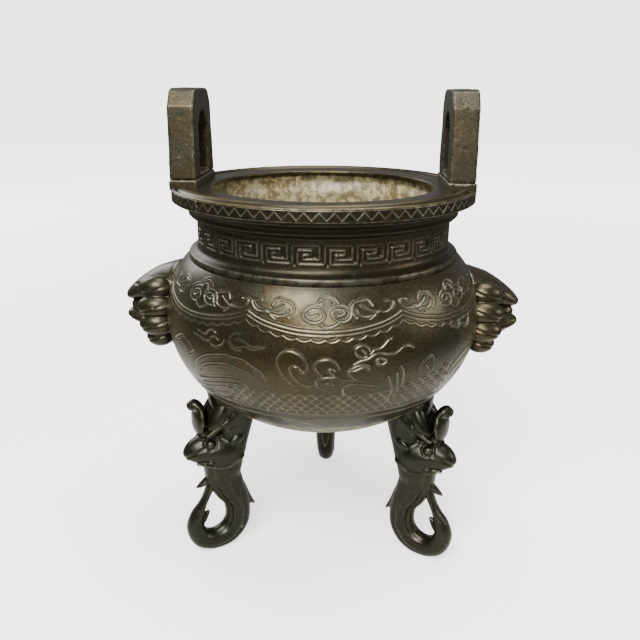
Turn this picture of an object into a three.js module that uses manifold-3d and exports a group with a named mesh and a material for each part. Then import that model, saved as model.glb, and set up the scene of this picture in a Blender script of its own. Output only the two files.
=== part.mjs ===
// Tripod incense burner of cast bronze: a round bellied bowl with a flanged rim, two upright
// ears on the rim, a lion mask on each flank and three beast-headed legs whose tails curl into a loop.
// Millimetres, Z up, the origin on the bowl's axis at the level of the feet.

import * as THREE from 'three';
import { mergeVertices } from 'three/addons/utils/BufferGeometryUtils.js';
import Module from 'manifold-3d';

const wasm = await Module();
wasm.setup();

// Driving dimensions of the bowl
const RIM_RADIUS = 80;
const RIM_TOP = 205.6;
const RIM_BAND = 6.6;
const MOUTH_RADIUS = 58.6;
const LIP_THICKNESS = 2.6;
const BEAD_RADIUS = 75.2;
const BEAD_RISE = 1;
const BEAD_HALF_WIDTH = 2.4;
const RIM_ROUND = 0.9;
const RIM_UNDERCUT = 4.5;
const LIP_FILLET = 2.2;
const NECK_RADIUS = 67.6;
const NECK_BOTTOM = 174.8;
const NECK_TOP = 189.8;
const MOULDING_RADIUS = 71.8;
const MOULDING_LEVEL = 193;
const MOULDING_ROUND = 2;
const COLLAR_RADIUS = 72.4;
const COLLAR_TOP = 172.2;
const SHOULDER_TOP = 168.4;
const SHOULDER_DROP = 6;
const STEP_DEPTH = 0.5;
const BELLY_RADIUS = 86.1;
const BELLY_LEVEL = 138.3;
const BELLY_BOTTOM = 71;
const WALL = 4.2;
const NECK_WALL = 4.6;
const BOWL_SEGMENTS = 36;

// Driving dimensions of the ears
const EAR_INNER = 63.4;
const EAR_OUTER = 76.8;
const EAR_HALF_WIDTH = 24.5;
const EAR_SHOULDER_HALF_WIDTH = 22;
const EAR_SHOULDER = 245.2;
const EAR_CROWN_HALF_WIDTH = 12;
const EAR_TOP = 253.8;
const EAR_CORNER_HALF_WIDTH = 16.5;
const EAR_CORNER_DROP = 1.2;
const EAR_BEVEL = 0.8;
const PLINTH_TOP = 209.4;
const PLINTH_LEDGE = 0.3;
const PLINTH_ROOT = 1;
const SLOT_HALF_WIDTH = 10.5;
const SLOT_BOTTOM = 211.7;
const SLOT_TOP = 242.2;

// Driving dimensions of the legs and masks
const LEG_AZIMUTHS = { leg_right: 330, leg_back: 90, leg_left: 210 };
const MASK_AZIMUTHS = { mask_right: 0, mask_left: 180 };
const JOINT_GAP = 0.3;
const FOOT_FLAT_DEPTH = 0.8;
const FLOOR_SIZE = 400;
const FLOOR_DEPTH = 20;
const LEG_SPLAY = { leg_right: 0, leg_back: 5.5, leg_left: 0 };
const LEG_PIVOT = [58, 86];
const MASK_PROUD = { mask_right: -1.6, mask_left: 1.2 };
const TAIL_SIDES = 10;
const TAIL_STEPS = 16;
const FINEST_DETAIL = 0.16;
const FLUTE_DEPTH = 0.1;
const LOCK_THICKNESS = 6.8;

const METALNESS = 0.85;

const bronze = (colour, roughness) =>
  new THREE.MeshStandardMaterial({ color: colour, roughness, metalness: METALNESS });

const FINISHES = {
  bowl: bronze(0x4a4030, 0.42),
  ear: bronze(0x554c3c, 0.5),
  mask: bronze(0x4b4335, 0.4),
  leg: bronze(0x35332b, 0.38),
};

// Solids and geometries

function toSolid(geometry) {
  const shell = geometry.clone();
  shell.deleteAttribute('normal');
  shell.deleteAttribute('uv');
  const merged = mergeVertices(shell, 1e-4);
  return new wasm.Manifold(new wasm.Mesh({
    numProp: 3,
    vertProperties: new Float32Array(merged.attributes.position.array),
    triVerts: new Uint32Array(merged.index.array),
  }));
}

function toGeometry(solid) {
  const mesh = solid.simplify(FINEST_DETAIL).getMesh();
  const geometry = new THREE.BufferGeometry();
  geometry.setAttribute('position', new THREE.BufferAttribute(new Float32Array(mesh.vertProperties), 3));
  geometry.setIndex(new THREE.BufferAttribute(new Uint32Array(mesh.triVerts), 1));
  geometry.computeVertexNormals();
  return geometry;
}

const joined = (solids) => solids.reduce((whole, piece) => whole.add(piece));

const degrees = THREE.MathUtils.degToRad;

// A lathe about the Z axis from (radius, height) points that start and end on the axis
function turned(points, segments) {
  const profile = points.map(([radius, height]) => new THREE.Vector2(radius, height));
  return new THREE.LatheGeometry(profile, segments).rotateX(Math.PI / 2);
}

// An ellipsoid whose X axis is tipped by pitch degrees, nose up, in the XZ plane
function egg([x, y, z], [radiusX, radiusY, radiusZ], pitch, sides, rings) {
  const ball = new THREE.SphereGeometry(1, sides, rings).rotateX(Math.PI / 2);
  ball.scale(radiusX, radiusY, radiusZ).rotateY(-degrees(pitch)).translate(x, y, z);
  return toSolid(ball);
}

function pairOfEggs([x, y, z], radii, pitch, sides, rings) {
  const one = egg([x, y, z], radii, pitch, sides, rings);
  return one.add(egg([x, -y, z], radii, pitch, sides, rings));
}

// A body swept through stations [x, z, half width in the XZ plane, half thickness in Y].
// Its section is an oval with a shallow flute down each flank where fluteDepth is more than 0.
function swept(stations, { steps, sides, fluteDepth = 0 }) {
  const centre = new THREE.CatmullRomCurve3(stations.map(([x, z]) => new THREE.Vector3(x, 0, z)));
  const widths = new THREE.CatmullRomCurve3(stations.map(([, , a, b]) => new THREE.Vector3(a, b, 0)));
  const positions = [];
  const indices = [];
  for (let i = 0; i <= steps; i += 1) {
    const along = centre.getPoint(i / steps);
    const tangent = centre.getTangent(i / steps);
    const { x: halfWidth, y: halfThickness } = widths.getPoint(i / steps);
    for (let j = 0; j < sides; j += 1) {
      const turn = (2 * Math.PI * j) / sides;
      const flank = Math.max(0, Math.cos(4 * turn)) * Math.sin(turn) ** 2;
      const across = halfWidth * Math.cos(turn);
      const outward = halfThickness * Math.sin(turn) * (1 - fluteDepth * flank);
      positions.push(along.x + tangent.z * across, outward, along.z - tangent.x * across);
    }
  }
  const ring = (i, j) => i * sides + (j % sides);
  for (let i = 0; i < steps; i += 1) {
    for (let j = 0; j < sides; j += 1) {
      indices.push(ring(i, j), ring(i, j + 1), ring(i + 1, j));
      indices.push(ring(i, j + 1), ring(i + 1, j + 1), ring(i + 1, j));
    }
  }
  for (let j = 1; j < sides - 1; j += 1) {
    indices.push(ring(0, 0), ring(0, j + 1), ring(0, j));
    indices.push(ring(steps, 0), ring(steps, j), ring(steps, j + 1));
  }
  const geometry = new THREE.BufferGeometry();
  geometry.setAttribute('position', new THREE.Float32BufferAttribute(positions, 3));
  geometry.setIndex(indices);
  const solid = toSolid(geometry);
  return solid.volume() > 0 ? solid : toSolid(flipped(geometry));
}

function flipped(geometry) {
  const index = Array.from(geometry.index.array);
  for (let i = 0; i < index.length; i += 3) {
    [index[i + 1], index[i + 2]] = [index[i + 2], index[i + 1]];
  }
  return geometry.clone().setIndex(index);
}

// The bowl

// One quarter of a squared oval: from the widest radius (turn 0) to the crown (turn 1)
function squaredOval(radius, rise, radialPower, risePower, turn) {
  const angle = (turn * Math.PI) / 2;
  return [radius * Math.cos(angle) ** (2 / radialPower), rise * Math.sin(angle) ** (2 / risePower)];
}

const BELLY_UPPER = { rise: 42.2, radialPower: 5.6, risePower: 1.65 };
const BELLY_LOWER = { rise: BELLY_LEVEL - BELLY_BOTTOM, radialPower: 2.03, risePower: 1.99 };

// Belly points from the bottom centre up to the shoulder, inset by the given wall
function bellyPoints(inset, lowerSteps, upperSteps, topHeight) {
  const points = [];
  for (let i = 0; i <= lowerSteps; i += 1) {
    const { rise, radialPower, risePower } = BELLY_LOWER;
    const turn = 1 - i / lowerSteps;
    const [r, dz] = squaredOval(BELLY_RADIUS - inset, rise - inset, radialPower, risePower, turn);
    points.push([r < 1e-6 ? 0 : r, BELLY_LEVEL - dz]);
  }
  const { rise, radialPower, risePower } = BELLY_UPPER;
  for (let i = 1; i <= upperSteps; i += 1) {
    const dz = ((topHeight - BELLY_LEVEL) * i) / upperSteps;
    const share = (dz / (rise - inset)) ** risePower;
    points.push([(BELLY_RADIUS - inset) * (1 - share) ** (1 / radialPower), BELLY_LEVEL + dz]);
  }
  return points;
}

function arcPoints([r, z], radius, fromAngle, toAngle, steps) {
  return Array.from({ length: steps + 1 }, (_, i) => {
    const angle = degrees(fromAngle + ((toAngle - fromAngle) * i) / steps);
    return [r + radius * Math.cos(angle), z + radius * Math.sin(angle)];
  });
}

function bowlProfile() {
  const bandBottom = RIM_TOP - RIM_BAND;
  const lipBottom = RIM_TOP - LIP_THICKNESS;
  const innerNeck = NECK_RADIUS - NECK_WALL;
  const innerShoulder = SHOULDER_TOP - WALL;
  const outside = [
    ...bellyPoints(0, 8, 6, SHOULDER_TOP - STEP_DEPTH),
    [COLLAR_RADIUS, SHOULDER_TOP],
    [COLLAR_RADIUS, COLLAR_TOP],
    [NECK_RADIUS, NECK_BOTTOM],
    [NECK_RADIUS, NECK_TOP],
    ...arcPoints([MOULDING_RADIUS - MOULDING_ROUND, MOULDING_LEVEL], MOULDING_ROUND, -60, 50, 2),
    [RIM_RADIUS - RIM_UNDERCUT, bandBottom - RIM_ROUND],
    [RIM_RADIUS - STEP_DEPTH, bandBottom],
    [RIM_RADIUS, RIM_TOP - RIM_ROUND],
    [RIM_RADIUS - RIM_ROUND, RIM_TOP],
    [BEAD_RADIUS + BEAD_HALF_WIDTH, RIM_TOP],
    [BEAD_RADIUS, RIM_TOP + BEAD_RISE],
    [BEAD_RADIUS - BEAD_HALF_WIDTH, RIM_TOP],
    [MOUTH_RADIUS, RIM_TOP],
  ];
  const inside = bellyPoints(WALL, 5, 2, innerShoulder - SHOULDER_DROP).reverse();
  return [
    ...outside,
    [MOUTH_RADIUS, lipBottom],
    [innerNeck, lipBottom - LIP_FILLET],
    [innerNeck, COLLAR_TOP],
    [innerNeck + LIP_FILLET, innerShoulder],
    ...inside,
  ];
}

function earPlinth(side) {
  const inner = EAR_INNER - PLINTH_LEDGE;
  const width = EAR_OUTER + PLINTH_LEDGE - inner;
  const bottom = RIM_TOP - PLINTH_ROOT;
  const block = new THREE.BoxGeometry(width, 2 * (EAR_HALF_WIDTH + PLINTH_LEDGE), PLINTH_TOP - bottom);
  block.translate(side * (inner + width / 2), 0, (PLINTH_TOP + bottom) / 2);
  return toSolid(block);
}

function bowlGeometry() {
  const vessel = toSolid(turned(bowlProfile(), BOWL_SEGMENTS));
  return toGeometry(joined([vessel, earPlinth(1), earPlinth(-1)]));
}

// The ears: slabs with chamfered shoulders and an arched slot through them

function earGeometry(side) {
  const outline = new THREE.Shape();
  const rightHalf = [
    [EAR_HALF_WIDTH, PLINTH_TOP + JOINT_GAP],
    [EAR_SHOULDER_HALF_WIDTH, EAR_SHOULDER],
    [EAR_CORNER_HALF_WIDTH, EAR_TOP - EAR_CORNER_DROP],
    [EAR_CROWN_HALF_WIDTH, EAR_TOP],
  ];
  const leftHalf = rightHalf.map(([y, z]) => [-y, z]).reverse();
  outline.setFromPoints([...rightHalf, ...leftHalf].map(([y, z]) => new THREE.Vector2(y, z)));
  const slot = new THREE.Path();
  slot.moveTo(-SLOT_HALF_WIDTH, SLOT_BOTTOM);
  slot.lineTo(SLOT_HALF_WIDTH, SLOT_BOTTOM);
  slot.lineTo(SLOT_HALF_WIDTH, SLOT_TOP - SLOT_HALF_WIDTH);
  slot.absarc(0, SLOT_TOP - SLOT_HALF_WIDTH, SLOT_HALF_WIDTH, 0, Math.PI, false);
  slot.closePath();
  outline.holes.push(slot);
  const slab = new THREE.ExtrudeGeometry(outline, {
    depth: EAR_OUTER - EAR_INNER - 2 * EAR_BEVEL,
    bevelEnabled: true,
    bevelThickness: EAR_BEVEL,
    bevelSize: EAR_BEVEL,
    bevelOffset: -EAR_BEVEL,
    bevelSegments: 1,
    curveSegments: 6,
  });
  slab.translate(0, 0, EAR_BEVEL).rotateX(Math.PI / 2).rotateZ(Math.PI / 2);
  const spread = side > 0 ? EAR_INNER : -EAR_OUTER;
  return toGeometry(toSolid(slab.translate(spread, 0, 0)));
}

// The body that legs and masks are fitted against: the belly, larger by the joint gap
function seatSolid() {
  const points = bellyPoints(-JOINT_GAP, 8, 6, SHOULDER_TOP);
  return toSolid(turned([...points, [0, SHOULDER_TOP]], BOWL_SEGMENTS));
}

// A leg, its outward side towards +X: a beast's head below the belly, and a fluted tail
// that runs down, curls outward round the foot and rises to meet its own throat

function legSolid() {
  const tail = swept([
    [64, 57, 10.5, 9.6],
    [63.4, 48, 10, 8.6],
    [60.6, 39, 9.2, 7.8],
    [56.8, 31, 7.6, 7.2],
    [55.2, 23, 7.3, 6.6],
    [56.2, 14.6, 7.4, 6.2],
    [61.6, 8, 7.2, 6],
    [70, 5.9, 6.2, 6],
    [77.5, 8.8, 5.8, 5.8],
    [81, 16.4, 4.9, 5.4],
    [79.8, 23.2, 3.9, 4.8],
    [76.8, 29, 2.3, 4],
    [74, 34.4, 1.9, 3.4],
    [71.2, 40.6, 2.4, 3.6],
  ], { steps: TAIL_STEPS, sides: TAIL_SIDES, fluteDepth: FLUTE_DEPTH });
  const nape = swept([
    [61, 54, 9, 9.2],
    [59.2, 63, 9.8, 10.4],
    [56.6, 74, 10.2, 10.4],
    [55.4, 85, 12.2, 11],
    [55.5, 98, 14, 12],
  ], { steps: 4, sides: 8 });
  const snout = swept([
    [66, 64.4, 9.6, 10],
    [74, 64.6, 8.8, 8],
    [79, 64.4, 6.4, 6.2],
    [82.4, 64.4, 3.4, 4.2],
    [83.6, 64.2, 1.2, 2],
  ], { steps: 4, sides: 8 });
  const petal = swept([
    [72.6, 72.7, 2, 5],
    [75.2, 78.2, 3.6, 8],
    [74.8, 85.2, 4.4, 9],
    [75, 90.4, 3.6, 6.6],
    [78.4, 92.8, 1.6, 3.4],
    [80.4, 93, 0.7, 1.6],
  ], { steps: 5, sides: 6 });
  const spurs = [
    [[52, 34, 3, 3], [48.8, 27, 1.9, 2.2], [45, 22.2, 0.5, 0.7]],
    [[71, 46, 2.4, 2.8], [75.2, 43.2, 1.7, 2.2], [78.8, 41.6, 0.6, 0.8]],
    [[80, 17.4, 2.4, 3], [76.4, 20.6, 1.7, 2.2], [73.4, 23.2, 0.5, 0.7]],
  ].map((stations) => swept(stations, { steps: 2, sides: 5 }));
  const skull = egg([62, 0, 62.2], [13.6, 11.8, 10.6], 0, 10, 6);
  const eyes = pairOfEggs([70, 7.8, 66.6], [3, 2.8, 3], 0, 6, 4);
  const ears = pairOfEggs([54.4, 9.6, 68], [3.6, 3, 3.2], 0, 5, 4);
  const leaves = pairOfEggs([66.2, 6, 84.6], [12.4, 5, 4.6], 118, 6, 5);
  const ridges = pairOfEggs([62, 9.2, 80.6], [10.4, 2.8, 2], 148, 5, 4);
  return joined([tail, nape, snout, petal, ...spurs, skull, eyes, ears, leaves, ridges]);
}

// A leg turned outward about the point where it joins the belly, then let down to the floor
function splayedLeg(splay) {
  const [pivotX, pivotZ] = LEG_PIVOT;
  const matrix = new THREE.Matrix4()
    .makeTranslation(pivotX, 0, pivotZ)
    .multiply(new THREE.Matrix4().makeRotationY(-degrees(splay)))
    .multiply(new THREE.Matrix4().makeTranslation(-pivotX, 0, -pivotZ));
  const geometry = toGeometry(legSolid()).applyMatrix4(matrix);
  geometry.computeBoundingBox();
  geometry.translate(0, 0, -FOOT_FLAT_DEPTH - geometry.boundingBox.min.z);
  return toGeometry(toSolid(geometry).subtract(seat).subtract(floor));
}

// A lion mask, its face towards +X: brow, nose and open jaws in front of a ruff of rolled locks

function maskSolid() {
  const muzzle = swept([
    [78, 150.5, 12, 18],
    [88, 149.6, 9.6, 15],
    [97, 147, 7, 11],
    [104.6, 144, 4.6, 8],
    [108.8, 142.6, 2.6, 5.6],
    [110.4, 142.4, 0.8, 2.6],
  ], { steps: 5, sides: 8 });
  const jaw = swept([
    [80, 128.6, 10, 15],
    [95, 129.2, 7, 11],
    [103.5, 130.6, 4.8, 8.6],
    [108.8, 131.4, 2.8, 5.4],
    [110.4, 131.4, 0.9, 2.4],
  ], { steps: 4, sides: 8 });
  const lips = egg([97.6, 0, 136.6], [10.2, 8.4, 5.4], 0, 6, 4);
  const cheeks = egg([84, 0, 138], [16, 18, 19], 0, 8, 5);
  const eyes = pairOfEggs([97.6, 8.2, 147], [3.8, 4, 3.8], 0, 6, 4);
  const beard = egg([86, 0, 119], [9, 9, 4.8], 8, 6, 4);
  const locks = [
    { level: 150.6, spread: 12.8, reach: 8.8, height: 5.2 },
    { level: 142.6, spread: 18.8, reach: 10.4, height: 5.4 },
    { level: 132.4, spread: 19.4, reach: 9.8, height: 5.8 },
    { level: 123.4, spread: 14.5, reach: 7.2, height: 5 },
  ];
  const mane = locks.map(({ level, spread, reach, height }) =>
    pairOfEggs([88.4, spread, level], [reach, LOCK_THICKNESS, height], 0, 6, 5));
  return joined([muzzle, jaw, lips, cheeks, eyes, beard, ...mane]);
}

// Assembly

const burner = new THREE.Group();

function place(name, geometry, finish, azimuth = 0) {
  const mesh = new THREE.Mesh(geometry, FINISHES[finish]);
  mesh.name = name;
  mesh.rotation.z = degrees(azimuth);
  burner.add(mesh);
}

const slab = new THREE.BoxGeometry(FLOOR_SIZE, FLOOR_SIZE, FLOOR_DEPTH);
const floor = toSolid(slab.translate(0, 0, -FLOOR_DEPTH / 2));
const seat = seatSolid();

place('bowl', bowlGeometry(), 'bowl');
place('ear_right', earGeometry(1), 'ear');
place('ear_left', earGeometry(-1), 'ear');
Object.entries(MASK_AZIMUTHS).forEach(([name, azimuth]) => {
  const proud = toGeometry(maskSolid()).translate(MASK_PROUD[name], 0, 0);
  place(name, toGeometry(toSolid(proud).subtract(seat)), 'mask', azimuth);
});
Object.entries(LEG_AZIMUTHS).forEach(([name, azimuth]) => {
  place(name, splayedLeg(LEG_SPLAY[name]), 'leg', azimuth);
});

export default burner;
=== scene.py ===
"""Tripod incense burner of cast bronze: its relief, finish, light and camera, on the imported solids."""

import itertools
import math

import bpy
import numpy as np
from bpy.props import FloatProperty, FloatVectorProperty, IntProperty, PointerProperty
from mathutils import Matrix, Vector, kdtree


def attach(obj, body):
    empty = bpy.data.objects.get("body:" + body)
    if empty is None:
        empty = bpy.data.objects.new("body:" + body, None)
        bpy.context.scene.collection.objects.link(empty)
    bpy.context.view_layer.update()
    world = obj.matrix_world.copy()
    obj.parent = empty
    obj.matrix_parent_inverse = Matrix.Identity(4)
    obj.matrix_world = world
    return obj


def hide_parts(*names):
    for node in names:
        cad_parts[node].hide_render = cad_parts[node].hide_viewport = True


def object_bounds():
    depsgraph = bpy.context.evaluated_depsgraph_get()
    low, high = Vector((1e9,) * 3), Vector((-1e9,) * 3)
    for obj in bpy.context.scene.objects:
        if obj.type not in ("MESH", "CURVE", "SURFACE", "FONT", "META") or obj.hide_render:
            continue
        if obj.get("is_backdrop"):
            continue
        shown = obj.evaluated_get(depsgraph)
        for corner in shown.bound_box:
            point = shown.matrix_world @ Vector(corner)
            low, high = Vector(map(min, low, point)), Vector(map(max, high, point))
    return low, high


bl_info = {
    "name": "Tripod Incense Burner",
    "version": (1, 0, 0),
    "blender": (4, 5, 0),
    "location": "View3D > Sidebar > Burner",
    "description": "Builds a cast bronze tripod incense burner with engraved relief",
    "category": "Add Mesh",
}

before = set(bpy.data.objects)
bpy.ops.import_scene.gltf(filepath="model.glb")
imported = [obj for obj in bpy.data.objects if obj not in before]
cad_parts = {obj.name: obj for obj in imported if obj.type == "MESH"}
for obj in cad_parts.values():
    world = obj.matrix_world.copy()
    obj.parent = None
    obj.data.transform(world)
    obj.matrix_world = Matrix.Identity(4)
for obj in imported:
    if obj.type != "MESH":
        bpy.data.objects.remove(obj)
CAD_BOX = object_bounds()

MM = 0.001
FULL_TURN = 2 * math.pi
FAR = 1e9
TINY = 1e-6


# Settings

class BowlSettings(bpy.types.PropertyGroup):
    """Sizes of the bowl and of the relief on it."""
    belly_radius: FloatProperty(
        name="Belly Radius", description="Widest radius of the belly", default=0.0861, unit="LENGTH")
    rim_radius: FloatProperty(
        name="Rim Radius", description="Outer radius of the flanged rim", default=0.080, unit="LENGTH")
    groove_width: FloatProperty(
        name="Line Width", description="Half width of an engraved line", default=0.00033, unit="LENGTH")
    groove_depth: FloatProperty(
        name="Line Depth", description="Depth of an engraved line", default=0.00034, unit="LENGTH")
    fret_depth: FloatProperty(
        name="Fret Depth", description="Depth of the ground of the fret band", default=0.00065, unit="LENGTH")
    fret_units: IntProperty(
        name="Fret Units", description="Key patterns round the neck", default=28, min=8)
    rim_teeth: IntProperty(
        name="Rim Teeth", description="Points of the zigzag round the rim", default=77, min=12)


class CastSettings(bpy.types.PropertyGroup):
    """Sizes of the meshes of the cast legs, masks and ears."""
    leg_step: FloatProperty(
        name="Leg Step", description="Mesh step on the legs", default=0.00066, unit="LENGTH")
    mask_step: FloatProperty(
        name="Mask Step", description="Mesh step on the masks", default=0.0006, unit="LENGTH")
    ear_step: FloatProperty(
        name="Ear Step", description="Mesh step on the ears", default=0.00085, unit="LENGTH")
    flute_depth: FloatProperty(
        name="Flute Depth", description="Depth of the flutes down the legs", default=0.0007, unit="LENGTH")


class FinishSettings(bpy.types.PropertyGroup):
    """Colours of the patina and of the metal that wear shows."""
    patina: FloatVectorProperty(
        name="Patina", description="Brown patina", subtype="COLOR", default=(0.039, 0.033, 0.019))
    umber: FloatVectorProperty(
        name="Umber", description="Redder patches in the patina", subtype="COLOR",
        default=(0.051, 0.037, 0.017))
    olive: FloatVectorProperty(
        name="Olive", description="Greener patches in the patina", subtype="COLOR",
        default=(0.031, 0.033, 0.021))
    metal: FloatVectorProperty(
        name="Worn Metal", description="Metal on rubbed edges", subtype="COLOR",
        default=(0.29, 0.27, 0.20))


class StageSettings(bpy.types.PropertyGroup):
    """Camera, floor and lights."""
    lens: FloatProperty(
        name="Lens", description="Focal length for a 36 mm wide picture", default=39.26,
        subtype="DISTANCE_CAMERA")
    floor_radius: FloatProperty(
        name="Floor Radius", description="Radius of the round floor", default=3.0, unit="LENGTH")
    floor_tone: FloatProperty(
        name="Floor Tone", description="Whiteness of the floor", default=0.86, subtype="FACTOR")


# Profile of the bowl, in millimetres

RIM_TOP = 205.6
RIM_BAND = 6.6
MOUTH_RADIUS = 58.6
LIP_THICKNESS = 2.6
BEAD_RADIUS = 75.2
BEAD_RISE = 1.0
BEAD_HALF_WIDTH = 2.2
NECK_RADIUS = 67.6
NECK_BOTTOM = 174.8
NECK_TOP = 189.8
MOULDING_RADIUS = 71.8
MOULDING_LEVEL = 193.0
COLLAR_RADIUS = 72.4
COLLAR_TOP = 172.2
SHOULDER_TOP = 168.4
BELLY_LEVEL = 138.3
BELLY_BOTTOM = 71.0
UPPER_RISE = 42.2
UPPER_POWERS = (5.6, 1.65)
LOWER_POWERS = (2.03, 1.99)
WALL = 4.2
NECK_WALL = 4.6
FRET_BOTTOM = 177.2
FRET_TOP = 187.0


def mm(length):
    """A length of the settings in millimetres."""
    return length / MM


def belly_radius(level, widest, inset=0.0):
    """Radius of the belly at a height: a squared oval, fuller above its widest level."""
    level = np.asarray(level, float)
    upper = level > BELLY_LEVEL
    rise = np.where(upper, UPPER_RISE, BELLY_LEVEL - BELLY_BOTTOM) - inset
    radial, vertical = (np.where(upper, above, below) for above, below in zip(UPPER_POWERS, LOWER_POWERS))
    share = np.clip(np.abs(level - BELLY_LEVEL) / rise, 0, 1) ** vertical
    return (widest - inset) * (1 - share) ** (1 / radial)


def resample(points, steps):
    """The polyline cut again at the given distances along it."""
    points = np.asarray(points, float)
    lengths = np.concatenate([[0], np.cumsum(np.linalg.norm(np.diff(points, axis=0), axis=1))])
    along = np.asarray(steps) * lengths[-1]
    return np.stack([np.interp(along, lengths, points[:, i]) for i in range(points.shape[1])], 1)


def arc(centre, radius, start, end, steps):
    """Points on an arc of a profile, angles in degrees."""
    angles = np.radians(np.linspace(start, end, steps))
    return [(centre[0] + radius * math.cos(a), centre[1] + radius * math.sin(a)) for a in angles]


def spline(points, step=0.3):
    """A smooth curve through the points, cut into short steps."""
    points = np.asarray(points, float)
    if len(points) < 3:
        count = max(2, int(np.linalg.norm(points[-1] - points[0]) / step))
        return points[0] + np.linspace(0, 1, count)[:, None] * (points[-1] - points[0])
    ends = np.vstack([2 * points[0] - points[1], points, 2 * points[-1] - points[-2]])
    pieces = []
    for p0, p1, p2, p3 in zip(ends[:-3], ends[1:-2], ends[2:-1], ends[3:]):
        count = max(2, int(np.linalg.norm(p2 - p1) / step) + 1)
        t = np.linspace(0, 1, count, endpoint=False)[:, None]
        pieces.append(0.5 * (2 * p1 + (p2 - p0) * t + (2 * p0 - 5 * p1 + 4 * p2 - p3) * t ** 2
                             + (3 * p1 - p0 - 3 * p2 + p3) * t ** 3))
    return np.vstack(pieces + [points[-1:]])


# Meshes

def new_piece(name, points, faces, nodes, slot, material, layers=None, normals=None):
    """A mesh object from points in millimetres and lists of faces of equal size, riding on the frame."""
    mesh = bpy.data.meshes.new(name)
    mesh.vertices.add(len(points))
    mesh.vertices.foreach_set("co", np.clip(np.asarray(points) * MM, *CAD_BOX).astype(np.float32).ravel())
    groups = [np.asarray(group, np.int32) for group in faces if len(group)]
    sizes = np.concatenate([np.full(len(group), group.shape[1]) for group in groups])
    corners = np.concatenate([group.ravel() for group in groups])
    mesh.loops.add(len(corners))
    mesh.loops.foreach_set("vertex_index", corners)
    mesh.polygons.add(len(sizes))
    mesh.polygons.foreach_set("loop_start", np.concatenate([[0], np.cumsum(sizes)[:-1]]).astype(np.int32))
    mesh.update(calc_edges=True)
    mesh.polygons.foreach_set("use_smooth", np.ones(len(sizes), bool))
    for layer, values in (layers or {}).items():
        attribute = mesh.attributes.new(layer, "FLOAT", "POINT")
        attribute.data.foreach_set("value", np.asarray(values, np.float32))
    if normals is not None:
        mesh.normals_split_custom_set_from_vertices(normals.astype(np.float32))
    mesh.materials.append(material)
    piece = bpy.data.objects.new(name, mesh)
    bpy.context.scene.collection.objects.link(piece)
    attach(piece, "root")
    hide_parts(*nodes)
    return piece


def ring_faces(rows, columns, closed_rows=False):
    """Quads of a lathe grid whose columns close on themselves, facing outward for a rising profile."""
    last = rows if closed_rows else rows - 1
    row, column = np.meshgrid(np.arange(last), np.arange(columns), indexing="ij")
    above = (row + 1) % rows
    beside = (column + 1) % columns
    quads = np.stack([row * columns + column, row * columns + beside,
                      above * columns + beside, above * columns + column], -1)
    return quads.reshape(-1, 4)


def turned(profile, angles):
    """Points of a profile of (radius, height) turned through the angles, row by row."""
    profile = np.asarray(profile, float)
    radius = profile[:, :1]
    height = np.repeat(profile[:, 1:2], len(angles), 1)
    return np.stack([radius * np.cos(angles), radius * np.sin(angles), height], -1)


# Distance fields for the cast pieces: x outward, y sideways, z up

def ellipsoid(p, centre, radii, pitch=0.0):
    """Distance to an ellipsoid whose outward axis is tipped up by pitch degrees."""
    q = p - np.asarray(centre, float)
    c, s = math.cos(math.radians(pitch)), math.sin(math.radians(pitch))
    q = np.stack([q[:, 0] * c + q[:, 2] * s, q[:, 1], q[:, 2] * c - q[:, 0] * s], 1)
    radii = np.asarray(radii, float)
    near = np.linalg.norm(q / radii, axis=1)
    slope = np.linalg.norm(q / radii ** 2, axis=1)
    return near * (near - 1) / np.maximum(slope, TINY)


def chain(p, stations, step=2.0):
    """Distance to an oval body along stations (x, z, half width, half thickness), with the angle
    round its section and the share of the way along it."""
    path = spline(stations, step)
    best = np.full(len(p), FAR)
    turn = np.zeros(len(p))
    share = np.zeros(len(p))
    for index, (start, end) in enumerate(zip(path[:-1], path[1:])):
        run = end[:2] - start[:2]
        length = max(float(run @ run), TINY)
        offset = p[:, (0, 2)] - start[:2]
        t = np.clip((offset @ run) / length, 0, 1)
        width = start[2] + t * (end[2] - start[2])
        thick = start[3] + t * (end[3] - start[3])
        rest = offset - t[:, None] * run
        near = np.hypot(rest[:, 0], rest[:, 1])
        k0 = np.hypot(near / width, p[:, 1] / thick)
        k1 = np.hypot(near / width ** 2, p[:, 1] / thick ** 2)
        distance = k0 * (k0 - 1) / np.maximum(k1, TINY)
        closer = distance < best
        best = np.where(closer, distance, best)
        side = np.sign(run[0] * rest[:, 1] - run[1] * rest[:, 0])
        turn = np.where(closer, np.arctan2(np.abs(p[:, 1]) / thick, side * near / width), turn)
        share = np.where(closer, (index + t) / (len(path) - 1), share)
    return best, turn, share


def stroke(p, points, width, side_level=0.0):
    """How strongly a line drawn on both flanks marks a point: 1 on the line, falling with distance."""
    path = spline(points, 1.0)
    best = np.full(len(p), FAR)
    for start, end in zip(path[:-1], path[1:]):
        run = end - start
        offset = p[:, (0, 2)] - start
        t = np.clip((offset @ run) / max(float(run @ run), TINY), 0, 1)
        rest = offset - t[:, None] * run
        best = np.minimum(best, rest[:, 0] ** 2 + rest[:, 1] ** 2)
    return np.exp(-best / width ** 2) * (np.abs(p[:, 1]) > side_level)


def blend(a, b, reach):
    """Union of two distances with a fillet of about the given reach."""
    h = np.clip(0.5 + 0.5 * (b - a) / reach, 0, 1)
    return b * (1 - h) + a * h - reach * h * (1 - h)


def mirrored(p):
    """The points with their sideways coordinate folded to one side."""
    return np.stack([p[:, 0], np.abs(p[:, 1]), p[:, 2]], 1)


def speckle(p, size, seed):
    """Smooth seeded noise from -1 to 1 at about the given size."""
    random = np.random.default_rng(seed)
    waves = random.normal(size=(10, 3)) / size
    phases = random.uniform(0, FULL_TURN, 10)
    return np.sin(p @ waves.T + phases).sum(1) / 4


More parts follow.
